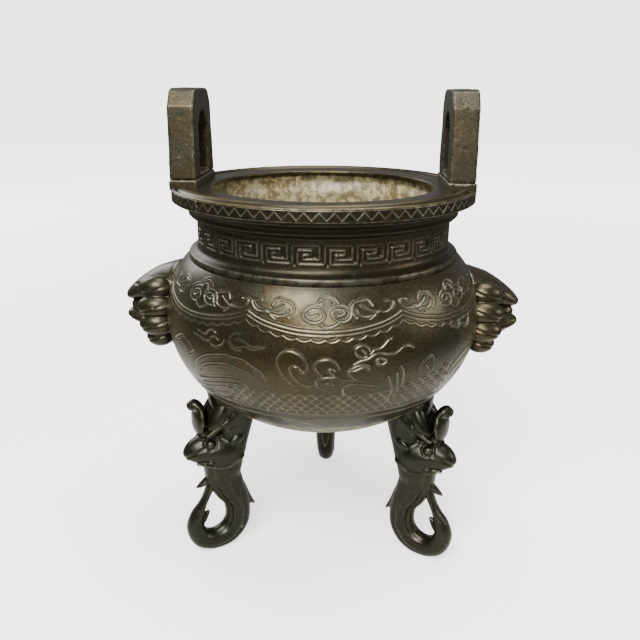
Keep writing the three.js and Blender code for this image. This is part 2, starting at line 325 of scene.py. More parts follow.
def field_values(field, low, step, shape):
    """The field on a grid, worked out in full only in the blocks near its surface."""
    block = 4
    counts = [-(-size // block) for size in shape]
    middle = np.stack(np.meshgrid(*[np.arange(n) for n in counts], indexing="ij"), -1) * block
    coarse = field((low + step * (middle.reshape(-1, 3) + (block - 1) / 2)))
    values = np.repeat(np.repeat(np.repeat(coarse.reshape(counts), block, 0), block, 1), block, 2)
    values = values[:shape[0], :shape[1], :shape[2]]
    near = np.abs(values) < 2.2 * block * step
    cells = np.argwhere(near)
    values[near] = field(low + step * cells)
    return values


def surface_nets(field, low, high, step):
    """Points and quads of the surface where the field is zero, settled on it by two Newton steps."""
    low = np.asarray(low, float)
    shape = np.ceil((np.asarray(high) - low) / step).astype(int) + 1
    values = field_values(field, low, step, shape)
    inside = values < 0
    offsets = np.array(list(itertools.product((0, 1), repeat=3)))
    spans = [slice(None, -1), slice(1, None)]
    count = sum(inside[spans[i], spans[j], spans[k]].astype(np.int8) for i, j, k in offsets)
    active = (count > 0) & (count < 8)
    index = np.full(active.shape, -1)
    cells = np.argwhere(active)
    index[active] = np.arange(len(cells))
    corner = [values[tuple((cells + offset).T)] for offset in offsets]
    total = np.zeros((len(cells), 3))
    hits = np.zeros(len(cells))
    for a, b in itertools.combinations(range(8), 2):
        if np.abs(offsets[a] - offsets[b]).sum() != 1:
            continue
        crossed = (corner[a] < 0) != (corner[b] < 0)
        t = np.where(crossed, corner[a] / np.where(crossed, corner[a] - corner[b], 1), 0)
        total += np.where(crossed[:, None], offsets[a] + t[:, None] * (offsets[b] - offsets[a]), 0)
        hits += crossed
    points = low + step * (cells + total / hits[:, None])
    for _ in range(2):
        value = field(points)
        nudge = 0.2 * step
        slope = np.stack([(field(points + nudge * axis) - field(points - nudge * axis)) / (2 * nudge)
                          for axis in np.eye(3)], 1)
        move = slope * (value / np.maximum((slope ** 2).sum(1), 0.05))[:, None]
        reach = np.linalg.norm(move, axis=1, keepdims=True)
        points -= move * np.minimum(1, 0.5 * step / np.maximum(reach, TINY))
    quads = []
    for axis in range(3):
        second, third = (axis + 1) % 3, (axis + 2) % 3
        lower = inside[tuple(slice(None, -1) if i == axis else slice(None) for i in range(3))]
        upper = inside[tuple(slice(1, None) if i == axis else slice(None) for i in range(3))]
        edges = np.argwhere(lower != upper)
        keep = (edges[:, second] > 0) & (edges[:, third] > 0)
        keep &= (edges[:, second] < shape[second] - 1) & (edges[:, third] < shape[third] - 1)
        edges = edges[keep]
        outward = lower[tuple(edges.T)]
        ring = []
        for back_second, back_third in ((1, 1), (0, 1), (0, 0), (1, 0)):
            cell = edges.copy()
            cell[:, second] -= back_second
            cell[:, third] -= back_third
            ring.append(index[tuple(cell.T)])
        ring = np.stack(ring, 1)
        quads.append(np.where(outward[:, None], ring, ring[:, ::-1]))
    return points, np.vstack(quads)


def turned_about(points, azimuth):
    """Points of a piece built along +X, turned to its azimuth in degrees."""
    c, s = math.cos(math.radians(azimuth)), math.sin(math.radians(azimuth))
    x, y, z = points.T
    return np.stack([x * c - y * s, x * s + y * c, z], 1)


# The legs

LEG_AZIMUTHS = {"leg_right": 330, "leg_back": 90, "leg_left": 210}
LEG_SPLAY = {"leg_right": 0.0, "leg_back": 5.5, "leg_left": 0.0}
LEG_DROP = {"leg_right": 0.6, "leg_back": 1.6, "leg_left": 0.6}
LEG_PIVOT = (58.0, 86.0)
LEG_BOX = ((34, -14, -3), (88, 14, 99))
SEAT_DEPTH = 0.5

# Bodies along stations of x, z, half width and half thickness, in millimetres
TAIL = [(64, 57, 10.5, 9.6), (63.4, 48, 10, 8.6), (60.6, 39, 9.2, 7.8), (56.8, 31, 7.6, 7.2),
        (55.2, 23, 7.3, 6.6), (56.2, 14.6, 7.4, 6.2), (61.6, 8, 7.2, 6), (70, 5.9, 6.2, 6),
        (77.5, 8.8, 5.8, 5.8), (81, 16.4, 4.9, 5.4), (79.8, 23.2, 3.9, 4.8), (76.8, 29, 2.3, 4),
        (74, 34.4, 1.9, 3.4), (71.2, 40.6, 2.4, 3.6)]
NAPE = [(61, 54, 9, 9.2), (59.4, 63, 9.6, 10.2), (56.6, 74, 10, 10.2), (55.6, 85, 12, 11),
        (55.8, 98, 14, 12)]
SNOUT = [(64, 64.4, 9.6, 10), (72, 65, 9, 8.6), (77.4, 65, 7, 6.6), (81.4, 64.2, 4, 4.4),
         (83.4, 63.4, 1.3, 2)]
HORN = [(72.8, 73, 1.8, 4.4), (75.6, 78.2, 2.9, 7.4), (75.6, 85.2, 3.3, 8.4), (75.4, 90.2, 2.9, 6.4),
        (77.4, 92.8, 2.8, 4.4), (79.4, 92.4, 2.5, 3)]
SPURS = [[(53, 36, 3, 3), (48.8, 27, 2.2, 2.4), (45, 22.2, 0.6, 0.9)],
         [(70, 46.6, 2.4, 2.8), (75.2, 43.4, 1.7, 2.2), (78.7, 41.8, 0.7, 0.9)],
         [(80.4, 17, 2.8, 3), (76.4, 21, 2.5, 2.6), (73.2, 24.4, 1.1, 1.2)]]
# Lines on both flanks of a head, as x and z
MOUTH_LINE = [(84.6, 62.4), (80.5, 65.6), (75.4, 68.4)]
LIP_LINE = [(82, 60.6), (78, 59.4), (74.6, 60.2)]
CHEEK_LINE = [(78.6, 58.4), (74, 57), (70.3, 55.8), (65.7, 55.4), (60, 57), (54, 60.2)]
CHIN_SHADE = [(77, 55.6), (70.3, 53), (65.7, 52.6), (58, 54), (52, 57.4)]
BROW_LINE = [(78, 74), (74.6, 73.6), (71, 73.8), (64.9, 74.2), (60.3, 75), (54, 73.6)]
HORN_LINE = [(72.6, 96), (72.6, 89), (74.4, 82), (76, 77)]
LEAF_LINE = [(74.6, 78.4), (67.4, 81.4), (60, 85.4), (55, 88.6)]
# Oval forms: centre, radii, and how far the first radius is tipped up, in degrees
SKULL = ((62.6, 0, 63.4), (13, 11.4, 10.4))
LEAF = ((66.4, 5.6, 85), (12.6, 5.2, 4.8), 118)
RIDGE = ((64.5, 8.9, 82.2), (11.5, 1.9, 1.5), 150)
CREST = ((57.5, 9.6, 86.4), (10.5, 2.4, 3.6), 128)
EAR = ((57.8, 10, 71.8), (4.4, 1.8, 2.4), 155)
CHEEK_BEAD = ((72.2, 7.9, 60.4), (1.6, 1.6, 1.6))
EYE = (71.6, 6.4, 70.2)
EYE_RADIUS = 2.3
EYE_RING = 3.2
FLUTE_ANGLES = (0.75, 1.3, 1.9)
FLUTE_WIDTH = 0.17
FLUTED_SHARE = 0.62


def belly_clearance(p, widest):
    """Rough distance from points to the outside of the lower belly."""
    reach = np.hypot(p[:, 0], p[:, 1])
    drop = np.abs(p[:, 2] - BELLY_LEVEL)
    radial, vertical = LOWER_POWERS
    size = np.sqrt((reach / widest) ** radial + (drop / (BELLY_LEVEL - BELLY_BOTTOM)) ** vertical)
    return (1 - 1 / np.maximum(size, TINY)) * np.hypot(reach, drop)


def leg_shape(p, flute):
    """A beast's head below the belly and a fluted tail that curls into a loop at the foot."""
    q = mirrored(p)
    tail, turn, share = chain(q, TAIL)
    flutes = sum(np.exp(-((turn - angle) / FLUTE_WIDTH) ** 2) for angle in FLUTE_ANGLES)
    tail = tail + flute * flutes * np.clip(6 * (FLUTED_SHARE - share), 0, 1)
    head = blend(ellipsoid(q, *SKULL), chain(q, SNOUT)[0], 2.5)
    head = head + 0.9 * stroke(q, MOUTH_LINE, 0.75) + 0.5 * stroke(q, LIP_LINE, 0.7)
    head = head - 1.9 * stroke(q, CHEEK_LINE, 1.3, 4) - 1.2 * stroke(q, BROW_LINE, 1.1, 3)
    head = head + 0.7 * stroke(q, CHIN_SHADE, 1.2, 4)
    shape = blend(blend(tail, chain(q, NAPE)[0], 2.5), head, 0.8)
    horn = chain(q, HORN, 1.2)[0] + 0.8 * stroke(q, HORN_LINE, 0.8, 2)
    leaf = ellipsoid(q, *LEAF) + 0.7 * stroke(q, LEAF_LINE, 0.9)
    shape = blend(shape, blend(leaf, horn, 0.6), 0.7)
    shape = blend(shape, blend(ellipsoid(q, *RIDGE), ellipsoid(q, *CREST), 0.5), 0.5)
    eye = np.linalg.norm(q - np.array(EYE), axis=1)
    shape = shape + 0.8 * np.exp(-((eye - EYE_RING) / 0.6) ** 2)
    shape = blend(shape, eye - EYE_RADIUS, 0.3)
    shape = blend(shape, ellipsoid(q, *CHEEK_BEAD), 0.3)
    shape = blend(shape, ellipsoid(q, *EAR), 0.5)
    for spur in SPURS:
        shape = blend(shape, chain(q, spur, 1.0)[0], 1.0)
    return shape + 0.05 * speckle(p, 3.0, 3)


def splayed(p, splay, inverse=False):
    """Points turned outward about the leg's pivot, or back again."""
    angle = math.radians(-splay if inverse else splay)
    c, s = math.cos(angle), math.sin(angle)
    x, z = p[:, 0] - LEG_PIVOT[0], p[:, 2] - LEG_PIVOT[1]
    return np.stack([LEG_PIVOT[0] + x * c - z * s, p[:, 1], LEG_PIVOT[1] + x * s + z * c], 1)


def leg_mesh(splay, drop, settings, widest):
    """A leg in its own plane, cut by the belly above and by the floor below."""
    flute = mm(settings.flute_depth)
    shift = np.array([0, 0, drop])

    def field(p):
        own = splayed(p + shift, splay, inverse=True)
        return np.maximum(leg_shape(own, flute), -SEAT_DEPTH - belly_clearance(p, widest))

    low, high = LEG_BOX
    high = (high[0] + LEG_PIVOT[1] * math.sin(math.radians(splay)), *high[1:])
    points, quads = surface_nets(field, low, high, mm(settings.leg_step))
    points[:, 2] = np.maximum(points[:, 2], 0)
    return points, quads


# The lion masks

MASK_AZIMUTHS = {"mask_right": 0, "mask_left": 180}
MASK_PROUD = {"mask_right": -1.6, "mask_left": 1.2}
MUZZLE = [(78, 150.5, 12, 18), (88, 149.6, 9.6, 14), (97, 147, 7, 10.4), (104, 144, 4.6, 7.6),
          (107.6, 142.6, 2.6, 5.6), (108.9, 142.2, 1.2, 3.4)]
JAW = [(80, 128.6, 10, 14), (95, 129.2, 7, 10.4), (103, 130.6, 4.8, 8), (107.5, 131.4, 2.8, 5.4),
       (108.9, 131.4, 1.2, 3)]
# Pairs of locks: height, distance from the middle, and radii outward and upward
LOCKS = [(149.8, 14.4, 9.6, 6.8), (140.8, 19.0, 10.4, 6.4), (131.2, 19.6, 9.8, 6.4),
         (122.6, 14.8, 7.6, 5.8)]
LOCK_PLACE = 88.4
LOCK_THICKNESS = 6.8
LOCK_TWIST = 0.35
LIPS = ((97.6, 0, 136.6), (10.2, 8.4, 5.4))
CHEEKS = ((84, 0, 138), (16, 18, 19))
BROW = ((95.4, 7.4, 151), (5.6, 4.4, 2.4), -24)
BEARD = ((86, 0, 119), (9, 9, 4.8), 8)
RUFF = ((83, 0, 138), (12.6, 21.4, 20.6))
RUFF_FOLDS = 22
MUZZLE_LINE = [(110, 139.6), (104, 140.6), (98, 141.6), (95, 144)]
NOSE_LINE = [(103, 149.6), (98, 149.4), (94, 147)]
JAW_CREASES = (127.0, 130.6)
TEETH = (0.0, 2.6, 5.2, 7.6)
TEETH_LEVEL = 136.4
MASK_EYE = (97.8, 8.6, 146.6)
MASK_EYE_RADIUS = 2.2
MASK_EYE_RING = 3.0
NOSTRIL = (109.0, 3.2, 143.0)
MASK_BOX = ((77, -28, 110), (114, 28, 166))


def mask_shape(p):
    """A lion's face: sloping muzzle, open jaws and a mane of rolled locks."""
    q = mirrored(p)
    muzzle = chain(q, MUZZLE)[0] + 0.9 * stroke(q, MUZZLE_LINE, 0.8, 2.5)
    muzzle = muzzle + 0.5 * stroke(q, NOSE_LINE, 0.7, 4)
    jaw = chain(q, JAW)[0]
    for level in JAW_CREASES:
        jaw = jaw + 0.6 * stroke(q, [(106, level), (100, level - 0.6), (95, level - 2)], 0.7, 2.5)
    teeth = sum(np.exp(-((q[:, 1] - side) / 0.5) ** 2) for side in TEETH)
    lips = ellipsoid(q, *LIPS) + 0.5 * teeth * (np.abs(q[:, 2] - TEETH_LEVEL) < 2.6)
    face = blend(blend(muzzle, jaw, 1.0), blend(lips, ellipsoid(q, *CHEEKS), 1.0), 1.2)
    face = blend(face, ellipsoid(q, *BROW), 1.0)
    eye = np.linalg.norm(q - np.array(MASK_EYE), axis=1)
    face = face + 0.7 * np.exp(-((eye - MASK_EYE_RING) / 0.6) ** 2)
    face = blend(face, eye - MASK_EYE_RADIUS, 0.3)
    nostril = np.linalg.norm(q - np.array(NOSTRIL), axis=1)
    face = face + 0.9 * np.exp(-(nostril / 1.2) ** 2)
    shape = blend(face, ellipsoid(q, *BEARD) + 0.4 * np.sin(q[:, 1] * 2.2) ** 2, 0.6)
    around = np.arctan2(q[:, 1], q[:, 2] - RUFF[0][2])
    shape = blend(shape, ellipsoid(q, *RUFF) + 0.3 * np.cos(around * RUFF_FOLDS), 0.5)
    for level, spread, reach, height in LOCKS:
        lock = ellipsoid(q, (LOCK_PLACE, spread, level), (reach, LOCK_THICKNESS, height))
        fold = q[:, 2] - level - 0.1 * height + LOCK_TWIST * (q[:, 0] - LOCK_PLACE)
        shape = blend(shape, lock + 0.4 * np.exp(-(fold / 0.8) ** 2), 0.35)
    return shape + 0.04 * speckle(p, 2.5, 5)


def mask_mesh(proud, settings, widest):
    """A mask against the belly, standing proud of its base place by the given distance."""
    shift = np.array([proud, 0, 0])

    def field(p):
        radius = belly_radius(p[:, 2], widest)
        gap = (np.hypot(p[:, 0], p[:, 1]) - radius) * 0.9
        return np.maximum(mask_shape(p - shift), -SEAT_DEPTH - gap)

    return surface_nets(field, *MASK_BOX, mm(settings.mask_step))


# The ears and the blocks they stand on

EAR_INNER = 63.4
EAR_OUTER = 76.8
EAR_OUTLINE = [(24.5, 209.5), (22, 245.2), (16.5, 252.6), (12, 253.8)]
SLOT_HALF_WIDTH = 10.5
SLOT_BOTTOM = 211.7
SLOT_TOP = 242.2
PLINTH_BOTTOM = RIM_TOP - 1.4
PLINTH_TOP = 209.4
PLINTH_LEDGE = 0.3
PLINTH_SHARE = 0.957
PLINTH_ROUND = 0.4
EAR_ROUND = 0.7
EAR_WEAR = 0.14
EAR_SPREAD = 26.5


def slab_shape(p, outline, round_edge):
    """Distance to an upright slab whose face has the given convex half outline (y, z)."""
    side = np.abs(p[:, 1])
    middle = (EAR_INNER + EAR_OUTER) / 2
    half = (EAR_OUTER - EAR_INNER) / 2 - round_edge
    depth = np.abs(p[:, 0] - middle) - half
    edges = [(0, outline[0][1])] + outline + [(0, outline[-1][1])]
    face = np.full(len(p), -FAR)
    for (y0, z0), (y1, z1) in zip(edges[:-1], edges[1:]):
        run = np.array([y1 - y0, z1 - z0])
        length = np.linalg.norm(run)
        if length < TINY:
            continue
        normal = np.array([run[1], -run[0]]) / length
        face = np.maximum(face, (side - y0) * normal[0] + (p[:, 2] - z0) * normal[1])
    face = face + round_edge
    outer = np.hypot(np.maximum(depth, 0), np.maximum(face, 0))
    return np.minimum(np.maximum(depth, face), 0) + outer - round_edge


def ear_shape(p):
    """An upright ear with chamfered shoulders, an arched slot and pits left by the casting."""
    slab = slab_shape(p, EAR_OUTLINE, EAR_ROUND)
    centre = SLOT_TOP - SLOT_HALF_WIDTH
    arch = np.hypot(p[:, 1], np.maximum(p[:, 2] - centre, 0)) - SLOT_HALF_WIDTH
    slot = np.maximum(arch, SLOT_BOTTOM - p[:, 2])
    pits = np.maximum(speckle(p, 0.7, 11) * speckle(p, 1.9, 12) - 0.35, 0)
    wear = 0.10 * speckle(p, 6.0, 13) + 0.28 * np.minimum(pits, 1.5)
    return -blend(-slab, slot, 0.6) + wear + EAR_WEAR


def plinth_shape(p):
    """The low block between the rim and an ear, a little wider than the ear all round."""
    widest = EAR_OUTLINE[0][0] + PLINTH_LEDGE
    outline = [(widest, PLINTH_BOTTOM), (widest, PLINTH_TOP)]
    thinned = p.copy()
    middle = (EAR_INNER + EAR_OUTER) / 2
    thinned[:, 0] = middle + (p[:, 0] - middle) * PLINTH_SHARE
    return slab_shape(thinned, outline, PLINTH_ROUND) + 0.05 * speckle(p, 4.0, 21)


# Engraved lines of the belly: each motif is drawn in millimetres, x to the right, y up, round its centre

MOTIFS = {
    "trefoil": [
        [(-2.8, 1.4), (-1.1, 3.6), (1.9, 4.4), (5, 3.6), (6.7, 2.1)],
        [(-2.2, 0.9), (-0.3, 2.4), (2.3, 2.6), (4.6, 0.3)],
        [(-0.7, 1.3), (-3.8, 1.4), (-7.2, 0.1), (-8.7, -1.9), (-7.5, -4.3), (-4.5, -5.6), (-1.4, -5.2),
         (0.4, -3.1), (-0.7, -1.1), (-3, -0.4), (-5.6, -0.8), (-6.8, -2.2), (-5.2, -3.2), (-2.6, -2.5)],
        [(5.7, 1.2), (9.6, 0.8), (12.3, -1.3), (11.9, -3.7), (9.6, -5.3), (6.1, -4.9), (3.9, -3.1),
         (3.8, -1.4), (6.1, -0.4), (8.8, -0.8), (9.2, -2.2), (6.9, -2.8), (5.4, -2.3)],
        [(-1.2, -5.9), (0.5, -7.3), (2.7, -7.6), (5, -6.9), (6.5, -5.9)]],
    "flank cloud": [
        [(-5.9, 4.7), (-8.8, 4), (-10.3, 2), (-9.9, -0.3), (-8.2, -2.2)],
        [(-5.9, 4.7), (-2.3, 4.9), (-0.3, 2.5)],
        [(-5.1, 2.8), (-2.6, 1.3), (1.2, -0.3), (2.9, 0.3)],
        [(1.3, 0.4), (5.4, -0.3), (8.6, 0.8), (10.3, 3), (8.8, 3.8), (6.6, 3.7)],
        [(-8.1, 1), (-6.9, -0.8), (-3.8, -1.7), (0.3, -1.3), (-2, -2.9)]],
    "long cloud": [
        [(-13.3, -0.6), (-8.9, -1.2), (-4.8, -2.1), (-1, -1.8)],
        [(-1, -0.3), (2, 0.9), (4.4, -0.1)],
        [(-10.3, 1.5), (-4.4, 0.8), (-2.5, 2.9), (0.5, 3.7), (2.7, 2.9)],
        [(-0.4, -3), (2.6, -3.8), (6.5, -1.9), (7.8, 0.3)]],
    "round cloud": [
        [(-1.4, 4.8), (-5.2, 4), (-7.5, 1.9), (-7.9, -0.4), (-6.4, -2.7), (-3.8, -3.8), (-0.9, -3.5)],
        [(-4.8, 1.3), (-2.4, 2), (-0.3, 1.5), (1.8, 0.6), (4.3, -0.7), (7.3, -0.3), (10.8, -0.2)],
        [(1.1, -1), (3.1, -1.9), (5.5, -2.1), (8.2, -1.2), (10.8, -0.2)],
        [(-7, -0.2), (-5.4, -2.1), (-2.2, -2.2), (0.6, -0.9)]],
    "great scroll": [
        [(4.6, 0), (5.9, -0.4), (7.3, 0.9), (6.8, 3.9), (5.1, 6.8), (2.3, 8.8), (-0.9, 9.5), (-3.8, 8.6),
         (-5.9, 6.4), (-6.7, 4.1), (-6.4, 1.4), (-5.1, -1.7), (-3.1, -4.4), (-1, -6.9), (1.7, -9.1)],
        [(4, 0.9), (2.9, 2), (0.8, 2.3), (-0.6, 1.2), (-0.7, -0.8), (0.6, -3.6), (2.6, -6), (5.4, -7.7),
         (8.3, -8.2)]],
    "small scroll": [
        [(2.2, 1.4), (1, 3.6), (-1.3, 5.7), (-4.3, 6.1), (-7.4, 5), (-9.1, 2.7), (-7.7, -0.2), (-5.4, -3.2)],
        [(0.3, 0.4), (-2, 1.3), (-2.2, -0.2), (0, -2.5), (3.2, -4.5), (8.7, -5.5)],
        [(0, -3), (-3.1, -3), (-6.5, -3.5), (-8.2, -5.3), (-8, -7.7), (-6, -9.6), (-2.9, -10.7)],
        [(-4.1, -6.2), (-1.8, -6.2), (-0.6, -7.6), (-2.6, -7.6)]],
    "wave": [
        [(-27.5, -6.9), (-20.5, -0.7), (-14.2, 3.2), (-8, 5.6), (0, 7.5), (5, 7.4), (10.5, 6.9),
         (14.5, 5.1), (19.1, 2.3), (20.9, -0.7), (22.9, -2.5)],
        [(-20.9, -6.4), (-16, -2.3), (-9.4, 0.5), (-1.3, 2.5), (5.5, 2.2), (11.6, 0.6), (15.7, -1.6),
         (17.9, -4)],
        [(-24.1, -11), (-12.6, -7.8), (-0.7, -4.5), (6.3, -4), (10.3, -4.9)],
        [(-22.4, -13.4), (-7.6, -9), (3.1, -6.7), (9.2, -7), (10.9, -9.5)],
        [(-35.9, -18), (-19.4, -14.9), (-5.2, -10.6), (4, -10.7), (8.5, -13.5)],
        [(-30, -19.7), (-15.4, -16.5), (-2.5, -14.3), (5.5, -14.4), (8.2, -15.2)],
        [(-30.3, -25), (-14, -19.7), (-1.2, -16.5), (6.7, -15.6)]],
    "side spiral": [
        [(-1.6, -7.7), (6.9, -3.3), (12.4, -2.4), (16.7, -4.4), (19.2, -6.1), (20.1, -7.5), (16.7, -10),
         (13.9, -11.1)],
        [(0.9, -7.7), (7.1, -6.1), (11.4, -6.8), (14.6, -8.3)]],
    "dragon": [
        [(-16.8, 1.2), (-14.1, 2.7), (-10.2, 3.7), (-7, 5.4), (-3.7, 5.6), (-0.4, 4.8), (2.6, 4.7),
         (5.3, 5.9), (8, 7.5), (11.2, 7.3), (13.4, 6)],
        [(-9, 5.6), (-7.4, 7.4), (-4.1, 8.1), (-2, 9.6), (-0.2, 11.3), (1.6, 11.8)],
        [(-19.4, -2), (-16.3, -1.8), (-13.2, -0.7), (-10.8, -0.7), (-9.1, -1.9)],
        [(-19.4, -2), (-17.9, -0.8), (-15.6, 0.3), (-12.5, 0.7), (-9.3, -0.2)],
        [(-18.7, -3.4), (-17.5, -5.3), (-14.9, -7.4), (-11.6, -8.6)],
        [(-6.2, 2.8), (-4.1, 3.2), (-1.1, 1.8), (-3.1, 0.1), (-5.2, 0.6), (-6.3, 2)],
        [(-5.4, 1.9), (-4.9, 1.5)],
        [(-9, 7.1), (-9.8, 8.8), (-12.1, 9.9), (-14.4, 9.7), (-15.9, 8.4), (-15.7, 6.5), (-14.2, 4.8),
         (-12.3, 4.3), (-10.7, 4.9), (-11.4, 6.6), (-12.8, 7.8)],
        [(0.7, -7), (2.1, -10.5), (4.1, -15.1), (3.3, -19.3), (2.6, -22.7)],
        [(5, -5.8), (6.1, -10.3), (6.9, -15.2), (8.5, -17.7)],
        [(6.7, -2.4), (8.7, -6.1), (9.2, -10.5), (9.1, -14.6)]],
    "flame": [
        [(-7.7, 0.4), (-6.2, 4.7), (-1.1, 6.6), (1.1, 4.2), (1, 0.5), (-0.7, -1.4), (-3.8, 1.8)],
        [(2.8, -15.2), (5.4, -9.4), (8.2, -5.1), (11.5, -0.2)]],
    "claw arm": [
        [(-45.1, -9), (-46.2, -5.3), (-44.5, -2.9), (-41.4, -2.6), (-34.7, -3.7), (-29.3, -5)]],
}

# Where the motifs stand: name, azimuth in degrees, height in millimetres, 1 or -1 for mirrored
PLACES = [
    ("trefoil", -87.5, 161.0, 1), ("flank cloud", -71, 159, 1), ("flank cloud", -104, 159, -1),
    ("trefoil", -134.9, 162.4, 1), ("trefoil", -37.7, 161.4, 1), ("flank cloud", -120, 159, 1),
    ("flank cloud", -151, 159, -1), ("flank cloud", -22, 159, 1), ("flank cloud", -54, 159, -1),
    ("long cloud", -125, 142.5, 1), ("round cloud", -112.5, 143, 1), ("great scroll", -97, 133, 1),
    ("small scroll", -84, 133, 1), ("wave", -120, 128, 1), ("side spiral", -148, 140, 1),
    ("dragon", -67, 135, 1), ("flame", -50, 128, 1), ("claw arm", -50, 128, 1),
    ("round cloud", -34, 146, -1), ("long cloud", -20, 134, 1), ("wave", -24, 122, -1),
    ("trefoil", 92.5, 161, 1), ("flank cloud", 109, 159, 1), ("flank cloud", 76, 159, -1),
    ("trefoil", 141, 161, 1), ("trefoil", 42, 161, 1), ("long cloud", 55, 143, 1),
    ("round cloud", 68, 143, 1), ("great scroll", 83, 133, 1), ("small scroll", 96, 133, 1),
    ("wave", 60, 128, 1), ("side spiral", 32, 140, 1), ("dragon", 113, 135, 1), ("flame", 130, 128, 1),
    ("wave", 150, 124, -1), ("round cloud", 146, 146, -1),
]

# The pointed collar round the shoulder: half a lobe as distance along the belly and height
COLLAR_LINE = [(-11.2, 152.4), (-3.6, 151.7), (4, 151.5), (11.6, 152), (19.5, 153.1), (27.7, 154.8),
               (33.3, 156.7), (37.2, 158.4)]
COLLAR_LOBES = 7
COLLAR_CENTRE = -86.8
COLLAR_MIDDLE = 1.4
COLLAR_HALF_LOBE = 35.8
COLLAR_SPACING = 1.8
COLLAR_FRINGE = 3.6
FRINGE_PITCH = 5.6
FRINGE_DEPTH = 1.1
BORDER_LEVELS = (106.6, 102.4)

# Scales of the dragon's body: first and last azimuth, lowest level at each, number of rows
SCALE_FIELDS = [(-120, -60, (107.4, 107.4), 5), (-60, -38, (107.4, 112), 6), (60, 136, (107.4, 109), 4),
                (-160, -118, (96.6, 96.6), 2), (-44, 66, (96.6, 96.6), 2)]
SCALE_PITCH = 5.2
SCALE_TURN = 3.6
SCALE_HEIGHT = 2.4


def on_belly(line, azimuth, level, widest):
    """A drawn line laid on the belly round a centre, as points in space."""
    heights = line[:, 1] + level
    radius = belly_radius(heights, widest)
    angle = math.radians(azimuth) + line[:, 0] / belly_radius(level, widest)
    return np.stack([radius * np.cos(angle), radius * np.sin(angle), heights], 1)


def collar_lines():
    """Half lobes of the pointed collar: a pair of lines and the fringe of small scallops below."""
    half = math.radians(180 / COLLAR_LOBES)
    drawn = [(0, COLLAR_LINE[2][1])] + [((s - COLLAR_MIDDLE) / COLLAR_HALF_LOBE, z)
                                        for s, z in COLLAR_LINE if s > COLLAR_MIDDLE + 5]
    line = spline(drawn)
    for lobe in range(COLLAR_LOBES):
        centre = math.radians(COLLAR_CENTRE + 360 / COLLAR_LOBES * lobe)
        for side in (-1, 1):
            for drop, weight in ((0, 1.0), (COLLAR_SPACING, 0.8)):
                yield centre + side * half * line[:, 0], line[:, 1] - drop, weight
            scallops = np.linspace(0, 1, 200)
            fringe = np.interp(scallops, line[:, 0], line[:, 1]) - COLLAR_FRINGE
            count = round(COLLAR_HALF_LOBE / FRINGE_PITCH)
            fringe = fringe - FRINGE_DEPTH * np.abs(np.sin(math.pi * count * scallops))
            yield centre + side * half * scallops, fringe, 0.7


def scale_rows(first, last, low, rows):
    """Rows of overlapping scale arcs between two azimuths, rising from the first to the last height."""
    for row in range(rows):
        for index in range(int((last - first) / SCALE_TURN)):
            azimuth = first + SCALE_TURN * (index + 0.5 * (row % 2))
            share = (azimuth - first) / (last - first)
            level = low[0] + share * (low[1] - low[0]) + SCALE_HEIGHT * row
            turn = np.linspace(0, math.pi, 9)
            yield azimuth, level, np.stack([SCALE_PITCH / 2 * np.cos(turn), SCALE_HEIGHT * np.sin(turn)], 1)


def engraving(widest):
    """Every engraved line of the belly as close points in space, with how deep each is cut."""
    points, weights = [], []

    def cut(line, weight):
        points.append(line)
        weights.append(np.full(len(line), weight))

    for name, azimuth, level, side in PLACES:
        for curve in MOTIFS[name]:
            line = spline(curve, 0.12) * (side, 1)
            cut(on_belly(line, azimuth, level, widest), 1.0)
    for angles, heights, weight in collar_lines():
        radius = belly_radius(heights, widest)
        line = np.stack([radius * np.cos(angles), radius * np.sin(angles), heights], 1)
        cut(resample(line, np.linspace(0, 1, 420)), weight)
    around = np.linspace(0, FULL_TURN, 4400, endpoint=False)
    for level in BORDER_LEVELS:
        radius = np.full(len(around), belly_radius(level, widest))
        cut(np.stack([radius * np.cos(around), radius * np.sin(around), np.full(len(around), level)], 1), 1.0)
    scales = itertools.chain.from_iterable(scale_rows(*field) for field in SCALE_FIELDS)
    for azimuth, level, line in scales:
        cut(on_belly(resample(line, np.linspace(0, 1, 50)), azimuth, level, widest), 0.7)
    return np.vstack(points), np.concatenate(weights)


class Engraver:
    """Depth of the engraved lines at points of the belly."""

    def __init__(self, settings):
        self.widest = mm(settings.belly_radius)
        self.width = mm(settings.groove_width)
        self.depth = mm(settings.groove_depth)
        points, self.weights = engraving(self.widest)
        self.tree = kdtree.KDTree(len(points))
        for index, point in enumerate(points):
            self.tree.insert(point, index)
        self.tree.balance()

    def marks(self, points):
        """Rise of the surface at the points and how brightly each is rubbed."""
        found = [self.tree.find(point)[1:] for point in points.tolist()]
        nearest = np.array([index for index, distance in found])
        distance = np.array([distance for index, distance in found])
        weight = self.weights[nearest] * np.clip(1.25 - 0.4 * np.abs(speckle(points, 14, 31)), 0.5, 1.1)
        cut = np.exp(-(distance / self.width) ** 2)
        shoulder = np.exp(-((distance - 1.9 * self.width) / self.width) ** 2)
        rise = weight * self.depth * (0.45 * shoulder - cut)
        return rise, weight * np.exp(-(distance / (1.15 * self.width)) ** 2)


# The bowl

BELLY_SPLIT = 92.0
FRONT_STEPS = (256, 332)
BACK_STEPS = (112, 184)
WALL_SHARE = 4
PATCHES = {
    "belly_front_left": (-170, -90, FRONT_STEPS), "belly_front_right": (-90, -10, FRONT_STEPS),
    "belly_back_right": (-10, 90, BACK_STEPS), "belly_back_left": (90, 190, BACK_STEPS),
}


def belly_line(widest, low, high, steps, inset=0.0):
    """Profile of the belly between two heights, evenly cut along its length."""
    levels = np.linspace(low, high, 600)
    return resample(np.stack([belly_radius(levels, widest, inset), levels], 1), np.linspace(0, 1, steps + 1))


